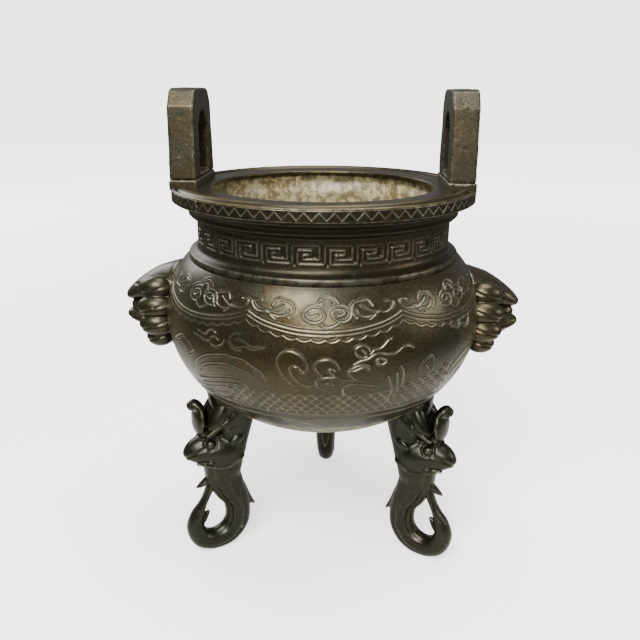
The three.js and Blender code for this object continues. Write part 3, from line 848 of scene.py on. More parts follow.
def engraved_patch(engraver, first, last, steps):
    """A closed panel of the belly's wall: an engraved outer face, a plain inner one and four edges."""
    rows, columns = steps
    widest = engraver.widest
    line = belly_line(widest, BELLY_SPLIT, SHOULDER_TOP, rows)
    along = np.gradient(line, axis=0)
    facing = np.stack([along[:, 1], -along[:, 0]], 1)
    facing /= np.linalg.norm(facing, axis=1, keepdims=True)
    angles = np.radians(np.linspace(first, last, columns + 1))
    outer = turned(line, angles)
    normals = turned(facing, angles)
    rise, light = engraver.marks(outer.reshape(-1, 3))
    rise = rise.reshape(rows + 1, columns + 1)
    cast = 0.03 * speckle(outer.reshape(-1, 3), 7.0, 41).reshape(rise.shape)
    outer = outer + normals * (rise + cast)[..., None]
    relief = np.cross(np.gradient(outer, axis=1), np.gradient(outer, axis=0))
    relief /= np.linalg.norm(relief, axis=-1, keepdims=True)
    inner_line = belly_line(widest, BELLY_SPLIT, SHOULDER_TOP, rows, WALL)[::WALL_SHARE]
    inner = turned(inner_line, angles[::WALL_SHARE])
    inner_facing = -turned(facing[::WALL_SHARE], angles[::WALL_SHARE])
    points = np.vstack([outer.reshape(-1, 3), inner.reshape(-1, 3)])
    shading = np.vstack([relief.reshape(-1, 3), inner_facing.reshape(-1, 3)])
    outer_index = np.arange((rows + 1) * (columns + 1)).reshape(rows + 1, columns + 1)
    inner_index = outer_index.size + np.arange(inner.shape[0] * inner.shape[1]).reshape(inner.shape[:2])
    faces = [sheet_faces(outer_index), sheet_faces(inner_index)[:, ::-1]]
    borders = [(outer_index[0], inner_index[0], True), (outer_index[-1], inner_index[-1], False),
               (outer_index[:, 0], inner_index[:, 0], False), (outer_index[:, -1], inner_index[:, -1], True)]
    for outside, inside, forward in borders:
        faces.append(edge_faces(outside, inside, forward))
    layer = np.concatenate([light, np.zeros(inner_index.size)])
    return points, faces, shading, layer


def sheet_faces(index):
    """Quads of an open grid of vertex numbers, facing outward for rows that rise and columns that turn."""
    return np.stack([index[:-1, :-1], index[:-1, 1:], index[1:, 1:], index[1:, :-1]], -1).reshape(-1, 4)


def edge_faces(outside, inside, forward):
    """Faces that join a fine border to the coarse one behind it."""
    steps = np.arange(len(inside) - 1)
    fine = np.stack([outside[WALL_SHARE * steps + k] for k in range(WALL_SHARE + 1)], 1)
    coarse = np.stack([inside[steps + 1], inside[steps]], 1)
    faces = np.hstack([fine, coarse])
    return faces[:, ::-1] if forward else faces


def lathe_shell(profile, columns, closed=True):
    """Points and quads of a closed profile turned all the way round."""
    angles = np.linspace(0, FULL_TURN, columns, endpoint=False)
    grid = turned(profile, angles)
    return grid, ring_faces(len(profile), columns, closed)


def belly_base(widest, columns=192):
    """The bottom of the bowl: outer and inner face with a point on the axis each, and the edge on top."""
    outer = belly_line(widest, BELLY_BOTTOM, BELLY_SPLIT, 40)[1:]
    inner = belly_line(widest, BELLY_BOTTOM + WALL, BELLY_SPLIT, 30, WALL)[1:]
    profile = np.vstack([outer, inner[::-1]])
    grid, quads = lathe_shell(profile, columns, closed=False)
    points = np.vstack([grid.reshape(-1, 3), [[0, 0, BELLY_BOTTOM], [0, 0, BELLY_BOTTOM + WALL]]])
    ring = np.arange(columns)
    beside = (ring + 1) % columns
    last = (len(profile) - 1) * columns
    foot = np.stack([beside, ring, np.full(columns, len(points) - 2)], 1)
    floor = np.stack([last + ring, last + beside, np.full(columns, len(points) - 1)], 1)
    return points, [quads, np.vstack([foot, floor])]


FRET_RIDGES = ["#########.##", "........#.#.", "######..#.#.", "#....#..#.#.", "#.####..#.#.",
               "#.#.....#.#.", "#.#######.#.", "#.........#.", "###########."]
FRET_EDGE = 0.1
FRET_START = 4.8
FRET_RUBBED = 0.16
NECK_FOOT = 167.6
NECK_HEAD = 199.5


def neck_foot():
    """Section of the collar and the cove above it, up to the key pattern."""
    return [(NECK_RADIUS - NECK_WALL + 4, NECK_FOOT), (COLLAR_RADIUS - 1.6, NECK_FOOT),
            (COLLAR_RADIUS - 0.4, NECK_FOOT + 0.6), (COLLAR_RADIUS, NECK_FOOT + 1.4),
            (COLLAR_RADIUS, COLLAR_TOP - 1), (COLLAR_RADIUS - 0.5, COLLAR_TOP - 0.2),
            (COLLAR_RADIUS - 1.2, COLLAR_TOP + 0.1), (NECK_RADIUS + 1.8, COLLAR_TOP + 0.7),
            (NECK_RADIUS + 0.6, NECK_BOTTOM - 1), (NECK_RADIUS, NECK_BOTTOM + 0.1),
            (NECK_RADIUS, FRET_BOTTOM - 0.8), (NECK_RADIUS - 0.1, FRET_BOTTOM - 0.25)]


def neck_head():
    """Section above the key pattern: the moulding, the top under the rim, and the inner wall."""
    inner = NECK_RADIUS - NECK_WALL
    return [(NECK_RADIUS - 0.1, FRET_TOP + 0.25), (NECK_RADIUS, FRET_TOP + 1.6),
            (NECK_RADIUS, NECK_TOP - 0.3), (NECK_RADIUS + 0.5, NECK_TOP + 0.2),
            (MOULDING_RADIUS - 1.2, MOULDING_LEVEL - 2),
            (MOULDING_RADIUS - 0.2, MOULDING_LEVEL - 1), (MOULDING_RADIUS, MOULDING_LEVEL),
            (MOULDING_RADIUS, MOULDING_LEVEL + 1.4), (MOULDING_RADIUS + 0.4, MOULDING_LEVEL + 2),
            (MOULDING_RADIUS + 1.4, MOULDING_LEVEL + 2.6), (MOULDING_RADIUS + 2.6, NECK_HEAD - 2.3),
            (MOULDING_RADIUS + 2.6, NECK_HEAD), (inner, NECK_HEAD), (inner, NECK_TOP + 0.2),
            (inner, COLLAR_TOP + 7.8), (inner + 0.4, COLLAR_TOP - 0.2), (NECK_RADIUS - 2.4, NECK_FOOT + 0.6)]


def fret_grid(settings):
    """The neck ring with its key pattern standing in a sunk band."""
    cells = len(FRET_RIDGES[0])
    units = settings.fret_units
    edges = math.radians(FRET_START) + np.linspace(0, FULL_TURN, units * cells + 1)
    slack = FRET_EDGE / NECK_RADIUS
    angles = np.stack([edges[:-1] + slack, edges[1:] - slack], 1).ravel()
    levels = np.linspace(FRET_BOTTOM, FRET_TOP, len(FRET_RIDGES) + 1)
    fret_rows = np.stack([levels[:-1] + FRET_EDGE, levels[1:] - FRET_EDGE], 1).ravel()
    below = neck_foot()
    profile = below + [(NECK_RADIUS, level) for level in fret_rows] + neck_head()
    grid = turned(profile, angles)
    band = slice(len(below), len(below) + len(fret_rows))
    ridge = np.array([[mark == "#" for mark in row] for row in FRET_RIDGES[::-1]])
    cell_row = np.arange(len(fret_rows)) // 2
    cell_column = (np.arange(len(angles)) // 2) % cells
    raised = ridge[cell_row][:, cell_column]
    wear = 0.12 * speckle(grid[band].reshape(-1, 3), 9, 51).reshape(raised.shape)
    sunk = np.where(raised, 0.05, mm(settings.fret_depth) + wear)
    grid[band, :, :2] *= (1 - sunk / NECK_RADIUS)[..., None]
    light = np.zeros(grid.shape[:2])
    light[band] = np.where(raised, FRET_RUBBED, 0)
    return grid, light


def rim_profile(rim):
    """Closed section of the rim: upright band, rounded edge, groove, bead, sloping flange and lip."""
    bottom = RIM_TOP - RIM_BAND
    inner = NECK_RADIUS - NECK_WALL
    lip = RIM_TOP - LIP_THICKNESS
    base = RIM_TOP - 0.4
    bead = arc((BEAD_RADIUS, base), BEAD_HALF_WIDTH, 25, 155, 9)
    bead = [(x, base + (z - base) * (BEAD_RISE + 0.4) / BEAD_HALF_WIDTH) for x, z in bead]
    return ([(rim - 5.4, bottom - 1.2), (rim - 2.4, bottom - 0.7), (rim - 0.7, bottom - 0.2),
             (rim - 0.5, bottom + 0.6), (rim - 0.5, RIM_TOP - 1.4), (rim - 0.1, RIM_TOP - 0.9)]
            + arc((rim - 0.9, RIM_TOP - 0.9), 0.9, 10, 90, 5)
            + [(rim - 1.5, RIM_TOP - 0.1), (rim - 1.9, RIM_TOP - 0.8), (rim - 2.3, RIM_TOP - 0.7)] + bead
            + [(72.8, RIM_TOP - 0.5), (71.6, RIM_TOP - 0.1), (66, RIM_TOP - 0.2), (61, RIM_TOP - 0.5)]
            + arc((MOUTH_RADIUS + 0.9, RIM_TOP - 1.4), 0.9, 90, 180, 5)
            + [(MOUTH_RADIUS, lip + 0.4), (MOUTH_RADIUS + 0.5, lip), (inner - 0.6, lip - 0.3),
               (inner - 0.2, lip - 0.8), (inner, lip - 1.3), (inner, NECK_HEAD - 1.3),
               (inner + 0.3, NECK_HEAD - 1.9), (NECK_RADIUS, NECK_HEAD - 2.1)])


def rim_wear_and_highlight(points, rim):
    """How bright the rim is rubbed along its bead and its outer edge, partly worn metal and partly a painted
    highlight on their tops.
    """
    reach = np.hypot(points[:, 0], points[:, 1])
    upper = points[:, 2] > RIM_TOP - 1.2
    bead = np.exp(-((reach - BEAD_RADIUS - 0.4) / 0.9) ** 2)
    edge = 0.7 * np.exp(-((reach - rim) / 0.9) ** 2)
    broken = np.clip(0.35 + 0.55 * speckle(points, 16, 61), 0.05, 0.9)
    return (bead + edge) * upper * broken


RIM_COLUMNS = 288
BAND_COLUMNS = 20
BAND_ROWS = 14
STROKE_WIDTH = 0.2
STROKE_DEPTH = 0.3


def zigzag_band(settings):
    """The upright band of the rim with its zigzag of thin strokes."""
    rim = mm(settings.rim_radius)
    bottom, top = RIM_TOP - RIM_BAND + 0.3, RIM_TOP - 1.0
    levels = np.linspace(bottom, top, BAND_ROWS)
    profile = [(rim - 1.2, bottom - 0.1)] + [(rim, level) for level in levels] + [(rim - 1.2, top + 0.1)]
    count = settings.rim_teeth * BAND_COLUMNS
    grid, quads = lathe_shell(profile, count)
    phase = (np.arange(count) / BAND_COLUMNS) % 1.0
    pitch = FULL_TURN * rim / settings.rim_teeth
    crest, foot = top - 0.6, bottom + 1.2
    middle = foot + (crest - foot) * np.abs(2 * phase - 1)
    slope = 2 * (crest - foot) / pitch
    gap = np.abs(levels[:, None] - middle) / math.hypot(1, slope)
    inside = (levels > foot - 0.3) & (levels < crest + 0.3)
    mark = np.exp(-(gap / STROKE_WIDTH) ** 2) * inside[:, None]
    share = 1 - STROKE_DEPTH * mark / rim
    grid[1:-1, :, :2] *= share[..., None]
    light = np.zeros(grid.shape[:2])
    light[1:-1] = mark
    return grid, quads, light


# Finishes: sizes of their patterns in metres

PATCH_SIZE = 0.035
MOTTLE_SIZE = 0.006
GRAIN_SIZE = 0.0011
WORN_EDGE_SIZE = 0.004
RUBBED_LINE_SIZE = 0.009
SPECK_SIZE = 0.0009
SPECK_FIELD_SIZE = 0.012
SKIN_WAVE_SIZE = 0.003
SKIN_GRAIN_SIZE = 0.0005
PIT_FIELD_SIZE = 0.008
PITS_PER_METRE = 650
RELIEF_DEPTH = 0.0004
EDGE_GAIN = 9.0
BRONZE_METALLIC = 0.8
BRONZE_IOR = 1.5


def node_group(name, inputs, outputs):
    """An empty shader group with named sockets; gives the group and its input and output nodes."""
    group = bpy.data.node_groups.new(name, "ShaderNodeTree")
    for label, kind, value in inputs:
        socket = group.interface.new_socket(label, in_out="INPUT", socket_type=kind)
        socket.default_value = value
    for label, kind in outputs:
        group.interface.new_socket(label, in_out="OUTPUT", socket_type=kind)
    return group, group.nodes.new("NodeGroupInput"), group.nodes.new("NodeGroupOutput")


def noise(tree, place, size, detail=4.0, roughness=0.6):
    """A noise texture of the given size in metres."""
    node = tree.nodes.new("ShaderNodeTexNoise")
    node.inputs["Scale"].default_value = 1 / size
    node.inputs["Detail"].default_value = detail
    node.inputs["Roughness"].default_value = roughness
    tree.links.new(place, node.inputs["Vector"])
    return node.outputs["Fac"]


def ramp(tree, value, low, high, from_tone=0.0, to_tone=1.0):
    """A value taken from one range to another, held at its ends."""
    node = tree.nodes.new("ShaderNodeMapRange")
    node.interpolation_type = "SMOOTHSTEP"
    for label, number in (("From Min", low), ("From Max", high), ("To Min", from_tone), ("To Max", to_tone)):
        node.inputs[label].default_value = number
    tree.links.new(value, node.inputs["Value"])
    return node.outputs["Result"]


def feed(tree, socket, value):
    """Links a socket to another, or sets it to a number or a colour."""
    if isinstance(value, (int, float, tuple)):
        socket.default_value = value
    else:
        tree.links.new(value, socket)


def combine(tree, kind, first, second):
    """A math node of two values, each a socket or a number."""
    node = tree.nodes.new("ShaderNodeMath")
    node.operation = kind
    feed(tree, node.inputs[0], first)
    feed(tree, node.inputs[1], second)
    return node.outputs["Value"]


def product(tree, first, *others):
    """Several values multiplied together."""
    for other in others:
        first = combine(tree, "MULTIPLY", first, other)
    return first


def total(tree, first, second):
    """Two values added."""
    return combine(tree, "ADD", first, second)


def distance(tree, place, centre=(0, 0, 0)):
    """How far a place is from a centre, in metres."""
    node = tree.nodes.new("ShaderNodeVectorMath")
    node.operation = "DISTANCE"
    node.inputs[1].default_value = centre
    tree.links.new(place, node.inputs[0])
    return node.outputs["Value"]


def object_place(tree):
    """The place of a point of the object, in metres."""
    return tree.nodes.new("ShaderNodeTexCoord").outputs["Object"]


def mixed(tree, share, first, second):
    """Two colours mixed by a share."""
    node = tree.nodes.new("ShaderNodeMix")
    node.data_type = "RGBA"
    colours = [socket for socket in node.inputs if socket.type == "RGBA"]
    tree.links.new(share, node.inputs["Factor"])
    for socket, colour in zip(colours, (first, second)):
        feed(tree, socket, colour)
    return [socket for socket in node.outputs if socket.type == "RGBA"][0]


def opaque(colour):
    """A colour with full alpha."""
    return (*colour, 1.0)


def patina_group():
    """Brown patina with redder and greener patches, and the roughness that goes with them."""
    tree, given, out = node_group(
        "Bronze Patina",
        [("Brown", "NodeSocketColor", (0.1, 0.07, 0.03, 1)),
         ("Warm", "NodeSocketColor", (0.1, 0.06, 0.02, 1)),
         ("Green", "NodeSocketColor", (0.06, 0.06, 0.03, 1)), ("Roughness", "NodeSocketFloat", 0.4),
         ("Variation", "NodeSocketFloat", 0.12)],
        [("Color", "NodeSocketColor"), ("Roughness", "NodeSocketFloat")])
    place = object_place(tree)
    broad = noise(tree, place, PATCH_SIZE, 3)
    fine = noise(tree, place, MOTTLE_SIZE, 5)
    grain = noise(tree, place, GRAIN_SIZE, 3)
    colour = mixed(tree, ramp(tree, broad, 0.42, 0.62), given.outputs["Brown"], given.outputs["Warm"])
    colour = mixed(tree, ramp(tree, fine, 0.5, 0.72), colour, given.outputs["Green"])
    shaded = tree.nodes.new("ShaderNodeHueSaturation")
    tree.links.new(colour, shaded.inputs["Color"])
    tree.links.new(ramp(tree, grain, 0.3, 0.7, 0.75, 1.2), shaded.inputs["Value"])
    tree.links.new(shaded.outputs["Color"], out.inputs["Color"])
    spread = total(tree, product(tree, fine, 0.6), product(tree, grain, 0.4))
    spread = product(tree, combine(tree, "SUBTRACT", spread, 0.5), given.outputs["Variation"], 4.0)
    tree.links.new(total(tree, given.outputs["Roughness"], spread), out.inputs["Roughness"])
    return tree


def wear_group():
    """How bare the metal is: on raised edges, along engraved lines, and broken up by noise."""
    tree, given, out = node_group(
        "Bronze Wear",
        [("Edge Start", "NodeSocketFloat", 0.52), ("Edge Strength", "NodeSocketFloat", 0.8),
         ("Line Strength", "NodeSocketFloat", 0.8), ("Speck Strength", "NodeSocketFloat", 0.3)],
        [("Bare", "NodeSocketFloat")])
    place = object_place(tree)
    point = tree.nodes.new("ShaderNodeNewGeometry").outputs["Pointiness"]
    broken = ramp(tree, noise(tree, place, WORN_EDGE_SIZE, 4), 0.35, 0.6)
    edge = combine(tree, "SUBTRACT", point, given.outputs["Edge Start"])
    edge = product(tree, edge, EDGE_GAIN, broken, given.outputs["Edge Strength"])
    # The line attribute also carries the rim's painted highlight along its bead and outer edge.
    line = tree.nodes.new("ShaderNodeAttribute")
    line.attribute_name = "line"
    rubbed = ramp(tree, noise(tree, place, RUBBED_LINE_SIZE, 3), 0.3, 0.62, 0.45, 1.0)
    marks = product(tree, line.outputs["Fac"], given.outputs["Line Strength"], rubbed)
    specks = ramp(tree, noise(tree, place, SPECK_SIZE, 2), 0.66, 0.74)
    fields = ramp(tree, noise(tree, place, SPECK_FIELD_SIZE, 3), 0.5, 0.62)
    marks = total(tree, marks, product(tree, specks, fields, given.outputs["Speck Strength"]))
    bare = tree.nodes.new("ShaderNodeClamp")
    tree.links.new(total(tree, combine(tree, "MAXIMUM", edge, 0.0), marks), bare.inputs["Value"])
    tree.links.new(bare.outputs["Result"], out.inputs["Bare"])
    return tree


def grain_group():
    """Height of the cast skin: soft waves, fine grain and small pits."""
    tree, given, out = node_group(
        "Cast Skin", [("Pits", "NodeSocketFloat", 0.5)], [("Height", "NodeSocketFloat")])
    place = object_place(tree)
    waves = noise(tree, place, SKIN_WAVE_SIZE, 3)
    grain = noise(tree, place, SKIN_GRAIN_SIZE, 2)
    pits = tree.nodes.new("ShaderNodeTexVoronoi")
    pits.inputs["Scale"].default_value = PITS_PER_METRE
    tree.links.new(place, pits.inputs["Vector"])
    deep = ramp(tree, pits.outputs["Distance"], 0.0, 0.28, 1.0, 0.0)
    fields = ramp(tree, noise(tree, place, PIT_FIELD_SIZE, 2), 0.5, 0.66)
    deep = product(tree, deep, fields, given.outputs["Pits"])
    height = total(tree, product(tree, waves, 0.5), product(tree, grain, 0.25))
    tree.links.new(combine(tree, "SUBTRACT", height, deep), out.inputs["Height"])
    return tree


def grouped(tree, group, **values):
    """A node that uses a group, with values set on its sockets."""
    node = tree.nodes.new("ShaderNodeGroup")
    node.node_tree = group
    for label, value in values.items():
        node.inputs[label.replace("_", " ")].default_value = value
    return node


def shared(name, build):
    """The node group of that name, built the first time it is asked for."""
    return bpy.data.node_groups.get(name) or build()


def bronze(name, tones, metal, roughness=0.4, pits=0.4, edge=0.8, line=0.5, specks=0.35, bump=0.25,
           soil_and_shade=None):
    """A patinated bronze from its three tones; the soil function, when given, stains and corrodes it by place
    and paints shade and sheen on it.
    """
    known = bpy.data.materials.get(name)
    if known:
        return known
    material = bpy.data.materials.new(name)
    material.use_nodes = True
    tree = material.node_tree
    shader = tree.nodes["Principled BSDF"]
    shader.inputs["Metallic"].default_value = BRONZE_METALLIC
    shader.inputs["IOR"].default_value = BRONZE_IOR
    patina = grouped(tree, shared("Bronze Patina", patina_group), Brown=opaque(tones[0]),
                     Warm=opaque(tones[1]), Green=opaque(tones[2]), Roughness=roughness)
    wear = grouped(tree, shared("Bronze Wear", wear_group), Edge_Strength=edge, Line_Strength=line,
                   Speck_Strength=specks)
    colour = mixed(tree, wear.outputs["Bare"], patina.outputs["Color"], opaque(metal))
    if soil_and_shade:
        colour, crust = soil_and_shade(tree, colour)
        tree.links.new(ramp(tree, crust, 0.0, 1.0, BRONZE_METALLIC, 0.0), shader.inputs["Metallic"])
    tree.links.new(colour, shader.inputs["Base Color"])
    tree.links.new(patina.outputs["Roughness"], shader.inputs["Roughness"])
    skin = grouped(tree, shared("Cast Skin", grain_group), Pits=pits)
    relief = tree.nodes.new("ShaderNodeBump")
    relief.inputs["Strength"].default_value = bump
    relief.inputs["Distance"].default_value = RELIEF_DEPTH
    tree.links.new(skin.outputs["Height"], relief.inputs["Height"])
    tree.links.new(relief.outputs["Normal"], shader.inputs["Normal"])
    return material


# Soil and painted light of the bowl in metres: the flanks, rubbed to a yellowish green and painted with a
# reflection, have a middle and a strength
FLANK_WEAR_AND_SHEEN = [((0.080, -0.026, 0.124), 0.75), ((-0.078, -0.036, 0.140), 0.35)]
FLANK_SHEEN_REACH = (0.008, 0.036)
FLANK_SHEEN_TONE = (0.17, 0.15, 0.065, 1)
# Painted shadow under the rim: a dark band over the top of the neck and its moulding, where the rim's
# overhang shades them.
RIM_SHADOW_STARTS = (0.1885, 0.1935)
RIM_SHADOW_ENDS = (0.1985, 0.2005)
RIM_SHADOW_TONE = (0.008, 0.006, 0.003, 1)
# Lowest height of the painted shade that darkens the inside of the bowl.
DEPTH_SHADE_BOTTOM = 0.150
CRUST_PATCH_SIZE = 0.005
CRUST_SPECK_SIZE = 0.0022
CRUST_TONES = ((0.13, 0.10, 0.045, 1), (0.38, 0.33, 0.18, 1))
CRUST_SPECKS = (0.66, 0.53, 0.20, 1)


def flank_wear_and_sheen(tree, place, colour):
    """The colour with the two lighter flanks of the belly, partly rubbed metal and partly a painted
    reflection.
    """
    for centre, strength in FLANK_WEAR_AND_SHEEN:
        near = ramp(tree, distance(tree, place, centre), *FLANK_SHEEN_REACH, strength, 0.0)
        patchy = ramp(tree, noise(tree, place, MOTTLE_SIZE, 5), 0.3, 0.62, 0.35, 1.0)
        colour = mixed(tree, product(tree, near, patchy), colour, FLANK_SHEEN_TONE)
    return colour


def corrosion_and_shade(tree, colour):
    """Flanks rubbed and painted with a reflection, a painted shadow under the rim, and a crust on the inside
    that thins into painted shade lower down: the colour and the crust's share.
    """
    place = object_place(tree)
    part = tree.nodes.new("ShaderNodeSeparateXYZ")
    tree.links.new(place, part.inputs["Vector"])
    height = part.outputs["Z"]
    colour = flank_wear_and_sheen(tree, place, colour)
    # Painted shadow of the rim's overhang on the neck's top and the rim's underside.
    rim_shadow = product(tree, ramp(tree, height, *RIM_SHADOW_STARTS, 0.0, 0.8),
                   ramp(tree, height, *RIM_SHADOW_ENDS, 1.0, 0.0))
    colour = mixed(tree, rim_shadow, colour, RIM_SHADOW_TONE)
    flat = tree.nodes.new("ShaderNodeCombineXYZ")
    tree.links.new(part.outputs["X"], flat.inputs["X"])
    tree.links.new(part.outputs["Y"], flat.inputs["Y"])
    reach = distance(tree, flat.outputs["Vector"])
    inside = ramp(tree, reach, (NECK_RADIUS - 3.6) * MM, (NECK_RADIUS - 2.4) * MM, 1.0, 0.0)
    below = ramp(tree, height, (RIM_TOP - 4.1) * MM, (RIM_TOP - 2.4) * MM, 1.0, 0.0)
    # Painted shade deeper in the bowl: the crust's share drops towards the bottom, so more dark bronze shows
    # there.
    shade_deeper = ramp(tree, height, DEPTH_SHADE_BOTTOM, (RIM_TOP - 2.8) * MM, 0.6, 1.0)
    crust = mixed(tree, ramp(tree, noise(tree, place, CRUST_PATCH_SIZE, 6, 0.7), 0.42, 0.6), *CRUST_TONES)
    crust = mixed(tree, ramp(tree, noise(tree, place, CRUST_SPECK_SIZE, 4), 0.6, 0.7), crust, CRUST_SPECKS)
    share = product(tree, inside, below, shade_deeper)
    return mixed(tree, share, colour, crust), share


# Pieces

BRASS_SHARES = (1.15, 1.0, 0.62)
# Factors that darken the bronze tones part by part; the neck's factor is painted shade from the rim's
# overhang.
TONE_AND_SHADE_FACTORS = {"neck": 0.72, "rim": 0.68, "band": 0.75, "ears": 0.9, "legs": 0.66}


def tones_of(finish):
    """The three patina colours of the settings."""
    return tuple(tuple(colour) for colour in (finish.patina, finish.umber, finish.olive))


def scaled(tones, factor):
    """Tones made lighter or darker."""
    return tuple(tuple(min(1, part * factor) for part in tone) for tone in tones)


class BURNER_OT_bowl(bpy.types.Operator):
    """Build the belly with its engraving, the neck with its key pattern, and the rim"""
    bl_idname = "burner.bowl"
    bl_label = "Bowl"

    def execute(self, context):
        sizes = context.scene.burner_bowl
        finish = context.scene.burner_finish
        tones, metal = tones_of(finish), tuple(finish.metal)
        brown, warm, _ = tones
        brass = tuple(part * share for part, share in zip(metal, BRASS_SHARES))
        body = bronze("Belly Bronze", tones, metal, roughness=0.33, soil_and_shade=corrosion_and_shade)
        neck = bronze("Neck Bronze", scaled(tones, TONE_AND_SHADE_FACTORS["neck"]), metal, roughness=0.42, line=0.4,
                      soil_and_shade=corrosion_and_shade)
        rim = bronze("Rim Bronze", scaled((warm, brown, warm), TONE_AND_SHADE_FACTORS["rim"]), brass, roughness=0.36,
                     edge=1.0, soil_and_shade=corrosion_and_shade)
        band = bronze("Band Bronze", scaled(tones, TONE_AND_SHADE_FACTORS["band"]), metal, roughness=0.36, line=0.85)
        engraver = Engraver(sizes)
        for name, (first, last, steps) in PATCHES.items():
            points, faces, shading, light = engraved_patch(engraver, first, last, steps)
            new_piece(name, points, faces, ["bowl"], "bowl_bronze", body, {"line": light}, shading)
        points, faces = belly_base(engraver.widest)
        new_piece("belly_base", points, faces, ["bowl"], "bowl_bronze", body)
        grid, light = fret_grid(sizes)
        faces = [ring_faces(grid.shape[0], grid.shape[1], True)]
        new_piece("neck", grid.reshape(-1, 3), faces, ["bowl"], "bowl_bronze", neck, {"line": light.ravel()})
        rim_radius = mm(sizes.rim_radius)
        grid, quads = lathe_shell(rim_profile(rim_radius), RIM_COLUMNS)
        points = grid.reshape(-1, 3)
        light = rim_wear_and_highlight(points, rim_radius)
        new_piece("rim", points, [quads], ["bowl"], "bowl_bronze", rim, {"line": light})
        grid, quads, light = zigzag_band(sizes)
        points = grid.reshape(-1, 3)
        new_piece("rim_band", points, [quads], ["bowl"], "bowl_bronze", band, {"line": light.ravel()})
        return {"FINISHED"}


class BURNER_OT_ears(bpy.types.Operator):
    """Build the two upright ears and the blocks under them"""
    bl_idname = "burner.ears"
    bl_label = "Ears"

    def execute(self, context):
        step = mm(context.scene.burner_cast.ear_step)
        finish = context.scene.burner_finish
        tones, metal = tones_of(finish), tuple(finish.metal)
        skin = bronze("Ear Bronze", scaled(tones, TONE_AND_SHADE_FACTORS["ears"]), metal, roughness=0.44, pits=1.2, edge=0.9,
                      specks=0.9, bump=0.5)
        ear = surface_nets(ear_shape, (EAR_INNER - 1, -EAR_SPREAD, SLOT_BOTTOM - 3.5),
                           (EAR_OUTER + 1, EAR_SPREAD, EAR_OUTLINE[-1][1] + 1), step)
        foot = surface_nets(plinth_shape, (EAR_INNER - 1.6, -EAR_SPREAD, RIM_TOP - 2.4),
                            (EAR_OUTER + 1.6, EAR_SPREAD, PLINTH_TOP + 1), step)
        for name, azimuth in (("right", 0), ("left", 180)):
            for piece, (points, quads), node, slot in (
                    (f"ear_{name}_cast", ear, f"ear_{name}", "ear_bronze"),
                    (f"ear_foot_{name}", foot, "bowl", "bowl_bronze")):
                new_piece(piece, turned_about(points, azimuth), [quads], [node], slot, skin)
        return {"FINISHED"}


class BURNER_OT_masks(bpy.types.Operator):
    """Build the two lion masks on the flanks"""
    bl_idname = "burner.masks"
    bl_label = "Lion Masks"

    def execute(self, context):
        sizes = context.scene.burner_cast
        widest = mm(context.scene.burner_bowl.belly_radius)
        finish = context.scene.burner_finish
        skin = bronze("Mask Bronze", tones_of(finish), tuple(finish.metal), roughness=0.34, edge=1.2)
        for name, azimuth in MASK_AZIMUTHS.items():
            points, quads = mask_mesh(MASK_PROUD[name], sizes, widest)
            new_piece(f"{name}_cast", turned_about(points, azimuth), [quads], [name], "mask_bronze", skin)
        return {"FINISHED"}


class BURNER_OT_legs(bpy.types.Operator):
    """Build the three beast-headed legs"""
    bl_idname = "burner.legs"
    bl_label = "Legs"

    def execute(self, context):
        sizes = context.scene.burner_cast
        widest = mm(context.scene.burner_bowl.belly_radius)
        finish = context.scene.burner_finish
        brown, _, green = scaled(tones_of(finish), TONE_AND_SHADE_FACTORS["legs"])
        skin = bronze("Leg Bronze", (green, brown, green), tuple(finish.metal), roughness=0.34, edge=0.9)
        made = {}
        for name, azimuth in LEG_AZIMUTHS.items():
            key = (LEG_SPLAY[name], LEG_DROP[name])
            if key not in made:
                made[key] = leg_mesh(*key, sizes, widest)
            points, quads = made[key]
            new_piece(f"{name}_cast", turned_about(points, azimuth), [quads], [name], "leg_bronze", skin)
        return {"FINISHED"}


# The stage, in metres

CAMERA_PLACE = (0.01622, -0.3758, 0.25675)
CAMERA_FORWARD = (-0.04465, 0.94535, -0.32292)
CAMERA_RIGHT = (0.998886, 0.047182, 0.0)
CAMERA_ROLL = 0.005
CAMERA_REACH = (0.01, 20)
SENSOR_MM = 36

# Soft round lights: place, width and power in watts
LIGHTS = {
    "key_light": ((-0.3, -0.8, 1.2), 0.6, 30.0),
    "top_light": ((0.15, 0.1, 1.5), 1.0, 30.0),
    "front_light": ((0.0, -0.95, 0.62), 0.34, 9.5),
    "side_light": ((1.25, -0.2, 0.55), 0.5, 7.0),
    "back_light": ((-0.9, 0.9, 0.8), 0.8, 10.0),
}
LIT_POINT = (0, 0, 0.13)
WORLD_TINT = (1.0, 0.99, 0.975, 1)
WORLD_LIGHT = 0.27
WORLD_WHITE = 3.4
FLOOR_REACH = (0.15, 0.38)
FLOOR_SHADES = ((0.74, 0.73, 0.69), (0.06, 0.052, 0.034, 1))
PAPER_SHARES = (0.985, 0.985, 0.98)
PAPER_GRAIN = 0.3
HAZE_REACH = (0.2, 1.6)
FLOOR_HAZE = ((1.3, 1.3, 1.28, 1), (3.2, 3.2, 3.16, 1))


